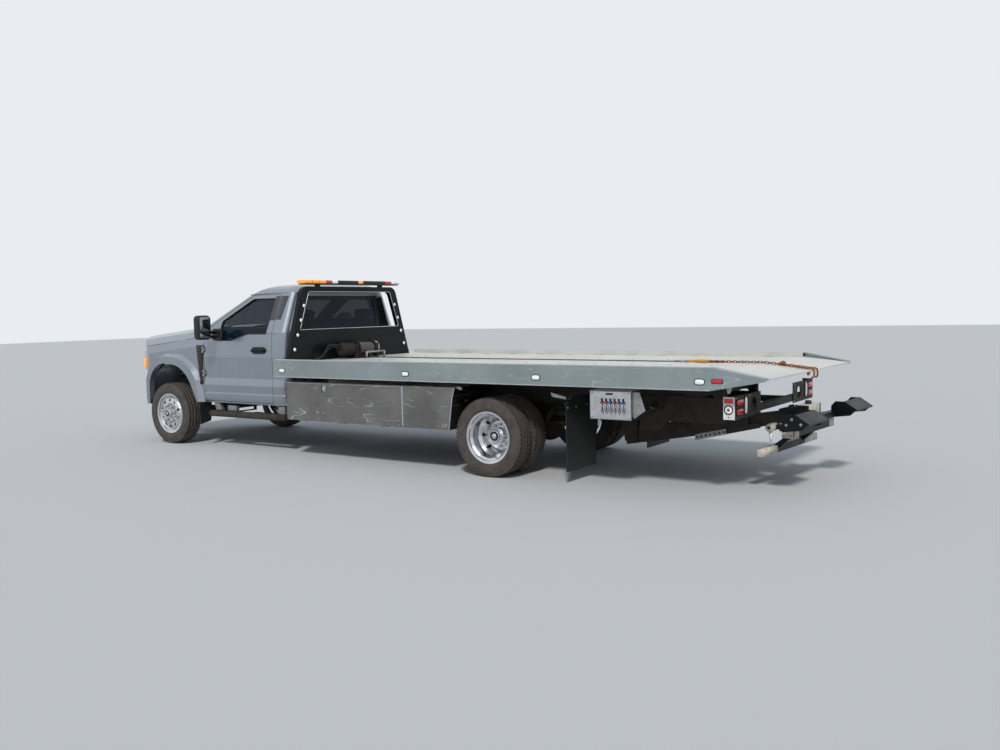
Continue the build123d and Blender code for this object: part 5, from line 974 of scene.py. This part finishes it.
bothSides("LiftStrip", slab([(-6.952, 0.346), (-6.952, 0.402), (-7.268, 0.475), (-7.268, 0.419)], 0.102, 0.108),
          "galvanised", "lift_boom", smooth=False)
# the strip's holes are thin black discs on its face: painted shade for the openings
bothSides("LiftStripHoles", [slab(disc(0.011, (-6.952 - 0.316 * f, 0.374 + 0.073 * f), 4), 0.1078, 0.1086, "y", 0.0003)
                             for f in np.linspace(0.07, 0.93, 7)], "blackPlastic", "lift_boom", smooth=False)
bothSides("LiftLowTube", slab([(-7.255, 0.418), (-7.255, 0.47), (-7.6, 0.552), (-7.6, 0.5)], 0.08, 0.106),
          "chassisBlack", "lift_boom", smooth=False)
bothSides("BoomPinCap", lathe([(0.038, 0.1005), (0.038, 0.112), (0.03, 0.118)], 24, pivot), "castIron", "lift_boom")
parts = []
for side in (1, -1):
    parts += [
        slab(rect(beamX - 0.099, beamX + 0.007, beamZ - 0.16, beamZ - 0.03), side * 0.4642, side * 0.476, "y", 0.002),
        slab(rect(beamX - 0.104, beamX + 0.003, beamZ - 0.157, beamZ - 0.033), side * 0.35, side * 0.45, "y", 0.002),
        outward(lathe([(0.036, side * 0.33), (0.036, side * 0.463)], 24, (beamX + 0.13, 0, beamZ - 0.08))),
        slab(rect(beamX + 0.1165, beamX + 0.1835, 0.317, 0.383), side * 0.3, side * 0.602, "y", 0.003)]
parts.append(pad((beamX - 0.104, -0.125, beamZ - 0.01), (beamX + 0.012, 0.125, beamZ + 0.099), 0.012, 0.006, "z"))
addCrossbarPiece("LiftCreamParts", parts, "creamEnamel")


def crossbarBolts(places, y, radius, tall):
    # bolts at places from the beam's middle, on both sides
    return [bolt for side in (1, -1)
            for bolt in bolts([(beamX + dx, side * y, beamZ + dz) for dx, dz in places], radius, side * tall)]


creamBolts = [(x, z) for x in (-0.08, -0.012) for z in (-0.145, -0.045)]
addCrossbarPiece("LiftCreamBolts", crossbarBolts(creamBolts, 0.4758, 0.01, 0.009), "zincPlate")
# the pin holes are thin black discs on the cylinders' ends: painted shade for the openings
holeAt = (beamX + 0.13, beamZ - 0.08)
addCrossbarPiece("LiftHoles", [slab(disc(0.016, holeAt, 6), side * 0.4625, side * 0.464, "y", 0.0004)
                               for side in (1, -1)], "blackPlastic", smooth=False)
addCrossbarPiece("LiftKnob", [lathe([(0.02, 0.0), (0.03, 0.008), (0.03, 0.026), (0.022, 0.034)], 20,
                                    (beamX - 0.052, 0.02, beamZ + 0.0985), "z")], "castIron")
pin = [(0.007, -0.05), (0.014, -0.01), (0.018, 0.04)]
addCrossbarPiece("LiftPins", [outward(lathe(pin, 14, (beamX + 0.13, side * 0.425, beamZ - 0.16), "z"))
                              for side in (1, -1)], "whiteEnamel")
cradleBolts = [(-0.16, 0.0), (-0.21, 0.05), (-0.29, 0.01)]
addCrossbarPiece("CradleBolts", crossbarBolts(cradleBolts, 0.7605, 0.011, 0.01), "zincPlate")
hoses = [[(-6.27, y, 0.52), (-6.4, y * 1.02, 0.523 + k * 0.02), (-6.75, y, 0.56 + k * 0.02),
          (-7.15, y * 0.9, 0.615 + k * 0.015)] for k, y in enumerate((0.055, 0.03, -0.04))]
addPiece("LiftHoses", [tube(smoothPath(path, 24), 0.01) for path in hoses], "blackRubber", "lift_boom")
print("wheel lift dressed")

# bench
benchLook = {"places": [(0.515, 0.238), (0.0, 0.255), (-0.515, 0.238)], "seatX": -1.6, "seatZ": 1.02,
             "seatLean": math.radians(-3), "backX": -1.962, "backZ": 1.35, "backLean": math.radians(-11),
             "rows": (-0.45, -0.15, 0.15, 0.45), "heads": (0.515, -0.515)}


def signedPower(value, power):
    return np.sign(value) * np.abs(value) ** power


def cushion(middle, half, crown, channels, face, lean):
    # a rounded block whose section and ends are sines and cosines raised to a low power; the sitting face swells by
    # the crown towards its middle, every channel presses a narrow groove along it, and all leans about its middle
    u = turns(72)[:, None]
    v = np.linspace(-0.492 * np.pi, 0.492 * np.pi, 61)[None, :]
    section = signedPower(np.cos(v), 0.28)
    one = section * signedPower(np.cos(u), 0.36)
    two = section * signedPower(np.sin(u), 0.36)
    side = signedPower(np.sin(v), 0.42) + 0 * u
    swell = crown * (1 - np.clip(side, -1, 1) ** 2) * (1 - np.clip(one, -1, 1) ** 2) * (two > 0)
    groove = sum(0.012 * np.exp(-((side - place) * half[1] / 0.008) ** 2) for place in channels) * (two > 0.2) * section
    edge = 0.007 * np.exp(-((two - 0.72) / 0.07) ** 2)
    x, y, z = one * (half[0] - edge), side * (half[1] - edge * 0.4), two * half[2] + swell - groove
    grid = np.stack([x, y, z], -1) if face == "z" else np.stack([z, y, -x], -1)
    return turned(shifted(outward(gridShape(grid, caps=True)), middle), lean, (0, 1, 0), (middle[0], 0, middle[2]))


places, seatX, seatZ, seatLean, backX, backZ, backLean, rows, heads = benchLook.values()
pads = []
for y, halfY in places:
    pads += [cushion((seatX, y, seatZ), (0.262, halfY, 0.085), 0.03, rows, "z", seatLean),
             cushion((backX, y, backZ), (0.262, halfY, 0.072), 0.026, rows, "x", backLean)]
pads += [cushion((-2.03, y, 1.66), (0.056, 0.135, 0.038), 0.01, (), "x", backLean) for y in heads]
benchPiece = addPiece("BenchPads", pads, "seatCloth")
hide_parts("bench_seat")
addPiece("BenchBase", [pad((-2.0, -0.735, 0.8035), (-1.37, 0.735, 0.942), 0.03, 0.01, "z"),
                       pad((-2.08, -0.735, 0.94), (-2.02, 0.735, 1.56), 0.02, 0.01, "z")], "blackPlastic")
addPiece("RestPosts", [tube([(-2.022, y + dy, 1.56), (-2.03, y + dy, 1.64)], 0.006)
                       for y in heads for dy in (-0.06, 0.06)], "brightChrome")
addPiece("BeltWebbing", [slab([(-2.045, 1.6), (-2.0, 1.6), (-1.965, 0.95), (-2.01, 0.95)], side * 0.822,
                              side * 0.8235, "y", 0.0004) for side in (1, -1)], "blackRubber", smooth=False)

# door cards: moulded panel, arm rest, pull and speaker ring inside each door
cardLook = {"inner": 0.9275, "outline": [(-1.06, 0.65), (-1.925, 0.65), (-1.925, 1.325), (-1.56, 1.325),
                                         (-1.3, 1.27), (-1.06, 1.27)]}
inner, outline = cardLook.values()
bothSides("DoorCards", [slab(outline, inner - 0.008, inner, "y", 0.003),
                        pad((-1.78, 0.882, 0.99), (-1.34, 0.922, 1.05), 0.024, 0.012),
                        pad((-1.86, 0.905, 0.69), (-1.48, 0.922, 0.8), 0.03, 0.008)], "blackPlastic", "left_door")
pull = smoothPath([(-1.36, 0.92, 1.15), (-1.375, 0.898, 1.152), (-1.455, 0.898, 1.158), (-1.47, 0.92, 1.16)], 14)
bothSides("DoorPulls", [tube(pull, 0.007), hoop(circle((-1.23, 0.918, 0.79), 0.072, 28), 0.005, 6)], "brightChrome",
          "left_door")
print("bench made")

# nose: lamp insides, grille edge, fog lamps, tow eyes
noseLook = {"lamps": [(x, y, z) for z in (1.12, 1.025) for x, y in ((0.715, 0.7), (0.668, 0.815))], "bowl": 0.044,
            "bowlDeep": 0.045, "grille": (0.598, 0.849, 1.181), "bars": (0.93, 1.015, 1.1), "fog": (0.7, 0.66)}


def noseX(y):
    # the nose bows back from the middle as the square of the distance across
    return 0.932 - 0.36 * np.asarray(y) ** 2


def bowl(centre, look):
    # a reflector whose depth grows as the square of the radius, 2 to 3 mm thick
    r = np.linspace(0.004, look["bowl"], 9)
    deep = look["bowlDeep"] * (r / look["bowl"]) ** 2
    profile = np.vstack([np.stack([r, deep], -1), np.stack([r + 0.002, deep - 0.003], -1)[::-1]])
    points = lathe(profile, 28, centre, "x", caps=False)["points"]
    return outward(gridShape(points.reshape(28, len(profile), 3), closeV=True))


lamps, _, _, (half, low, high), bars, fog = noseLook.values()
bothSides("LampBowls", [bowl(spot, noseLook) for spot in lamps], "brightChrome")
bothSides("LampBulbs", [dome(disc(0.016, (y, z), 6), x + 0.006, 0.014, "x") for x, y, z in lamps], "clearLens")
bothSides("LampBacks", slab(rect(0.64, 0.895, 0.972, 1.195), 0.632, 0.64, "x"), "blackPlastic")
bothSides("LampAmber", pad((0.645, 0.88, 0.985), (0.668, 0.9, 1.18), 0.006, 0.003, "z"), "amberLens")
edgeY = np.concatenate([np.linspace(-half, half, 40), np.linspace(half, -half, 40)])
edge = np.stack([noseX(edgeY) - 0.004, edgeY, np.repeat([high, low], 40)], -1)
addPiece("GrilleEdge", hoop(edge, 0.009), "brightChrome")
rimY, rimZ = around([(0.606, 0.968), (0.606, 1.198), (0.905, 1.198), (0.905, 0.968)], 60).T
bothSides("LampRims", hoop(np.stack([np.interp(rimY, [0.6, 0.912], [0.803, 0.667]), rimY, rimZ], -1), 0.0045, 6),
          "brightChrome")
bandY = np.linspace(-0.585, 0.585, 24)
addPiece("GrilleBars", [tube(np.stack([noseX(bandY) - 0.01, bandY, z + 0 * bandY], -1), 0.008) for z in bars],
         "brightChrome")
fogX = noseX(fog[0])
bezel = [(0.058, 0.0), (0.058, 0.01), (0.048, 0.016), (0.046, 0.004)]
bothSides("FogBezels", outward(lathe(bezel, 28, (fogX + 0.118, *fog), "x")), "blackPlastic")
bothSides("FogLenses", dome(disc(0.044, fog, 8), fogX + 0.126, 0.01, "x"), "clearLens")
bothSides("FrontTowEyes", [hoop(circle((0.88, 0.38, 0.47), 0.034, 20), 0.011),
                           block((0.8, 0.366, 0.47), (0.87, 0.394, 0.51))], "chassisBlack")
print("nose dressed")

# steps and their brackets
stepLook = {"front": -0.76, "back": -2.145, "y": 0.984, "z": 0.432, "treads": (-1.05, -1.78)}
front, back, y, z, places = stepLook.values()
bothSides("StepTube", pad((back, y - 0.045, z - 0.04), (front, y + 0.045, z + 0.04), 0.034, 0.012, "x"), "chassisBlack")
treads = [pad((x - 0.22, 0.952, z + 0.036), (x + 0.22, 1.01, z + 0.0435), 0.012, 0.003, "z") for x in places]
treads += [block((x - 0.003, 0.956, z + 0.043), (x + 0.003, 1.006, z + 0.0455), 0.001)
           for middle in places for x in np.linspace(middle - 0.2, middle + 0.2, 21)]
bothSides("StepTreads", treads, "blackRubber", smooth=False)
hangers = [[(-0.818, 0.566), (-0.916, 0.566), (-0.968, 0.462), (-0.861, 0.458)],
           [(-1.077, 0.54), (-1.238, 0.54), (-1.234, 0.466), (-1.073, 0.466)],
           [(-1.995, 0.56), (-2.105, 0.56), (-2.1, 0.466), (-2.0, 0.466)]]
bothSides("StepHangers", [slab(outline, 0.93, 0.978) for outline in hangers], "galvanised", smooth=False)
bothSides("HangerBolts", bolts([(x, 0.9778, z) for x, z in ((-0.885, 0.52), (-1.11, 0.505), (-1.2, 0.505),
                                                            (-2.05, 0.51))], 0.009, 0.008), "zincPlate")
print("steps made")

# under the frame
exhaust = smoothPath([(-0.8, -0.27, 0.6), (-1.4, -0.265, 0.47), (-2.6, -0.262, 0.45), (-3.6, -0.27, 0.45),
                      (-4.2, -0.33, 0.445), (-4.48, -0.48, 0.42), (-4.55, -0.64, 0.39)], 50)
addPiece("ExhaustPipe", tube(exhaust, 0.04, 16), "castIron")
# the muffler's radius falls to its ends as the square root of the distance from them
mufflerX = np.linspace(-2.15, -3.05, 24)
mufflerR = 0.105 * np.clip(np.minimum(mufflerX + 3.09, -2.11 - mufflerX) / 0.05, 0.45, 1) ** 0.5
addPiece("Muffler", tube(np.stack([mufflerX, np.full(24, -0.264), np.full(24, 0.45)], -1), mufflerR, 28), "galvanised")
addPiece("FrameLines", [tube(smoothPath([
    (-2.3, 0.438 + k * 0.001, 0.6 + k * 0.026), (-3.8, 0.4385, 0.604 + k * 0.026), (-5.4, 0.4385, 0.602 + k * 0.026),
    (-6.4, 0.455, 0.64 + k * 0.026), (-6.55, 0.7, 0.7 + k * 0.02), (-6.58, 1.02, 0.72 + k * 0.018)], 60), 0.0075)
    for k in range(4)], "blackRubber")
for label, side in (("Left", 1), ("Right", -1)):
    damper = [tube([(-5.36, side * 0.46, 0.4), (-5.48, side * 0.455, 0.55)], 0.026, 16),
              tube([(-5.44, side * 0.457, 0.5), (-5.545, side * 0.452, 0.632)], 0.034, 16)]
    addPiece(label + "RearDamper", damper, "chassisBlack")
bothSides("FrameBolts", bolts([(x, 0.4318, z) for x in np.arange(-2.75, -7.3, -0.42) for z in (0.61, 0.752)],
                              0.012, 0.01), "castIron")
print("underside dressed")

# floor, backdrop and light
stageLook = {"floor": "#b9b8b6", "floorHalf": 60.0, "sunStrength": 2.5, "sunSpread": 7.0, "glowStrength": 0.5,
             "glowSpread": 36.0, "toSun": (-0.42, 0.72, 0.78), "sky": "#d3e0f0", "skyStrength": 0.76,
             "backdrop": "#e9edf1"}


def makeStage(look):
    mesh = bpy.data.meshes.new("floor")
    size = look["floorHalf"]
    mesh.from_pydata([(x, y, 0) for x, y in rect(-size, size, -size, size)], [], [(0, 1, 2, 3)])
    floor = placed("floor", mesh)
    material, _, feedShader = startMaterial("paleFloor")
    feedShader({"Base Color": tint(look["floor"]), "Roughness": 0.9, "Specular IOR Level": 0.1})
    mesh.materials.append(material)
    world = bpy.data.worlds.new("paleSky")
    world.use_nodes = True
    tree = world.node_tree
    sky = tree.nodes["Background"]
    feed(tree, sky, {"Color": tint(look["sky"]), "Strength": look["skyStrength"]})
    plain = addNode(tree, "Background", {"Color": tint(look["backdrop"]), "Strength": 1.0})
    # surfaces are lit by a bluish sky, while the eye, reflections and panes see a plain pale backdrop
    seen = addNode(tree, "LightPath", out="Is Camera Ray")
    ray = seen.node.outputs
    for kind in ("Is Glossy Ray", "Is Transmission Ray"):
        seen = addNode(tree, "Math", {0: seen, 1: ray[kind]}, operation="MAXIMUM")
    mixed = addNode(tree, "MixShader", {0: seen, 1: sky.outputs[0], 2: plain})
    feed(tree, tree.nodes["World Output"], {"Surface": mixed})
    bpy.context.scene.world = world
    # the narrow lamp lights surfaces, the broad one from the same side shows only in reflections, so none is clipped
    for name, inGloss in (("sun", False), ("glow", True)):
        data = bpy.data.lights.new(name, "SUN")
        data.energy = look[name + "Strength"]
        data.angle = math.radians(look[name + "Spread"])
        lamp = placed(name, data)
        lamp.visible_glossy = inGloss
        lamp.visible_diffuse = not inGloss
        lamp.rotation_mode = "QUATERNION"
        lamp.rotation_quaternion = Vector(look["toSun"]).to_track_quat("Z", "Y")


makeStage(stageLook)
bpy.context.scene.view_settings.view_transform = "Standard"
print("stage made")
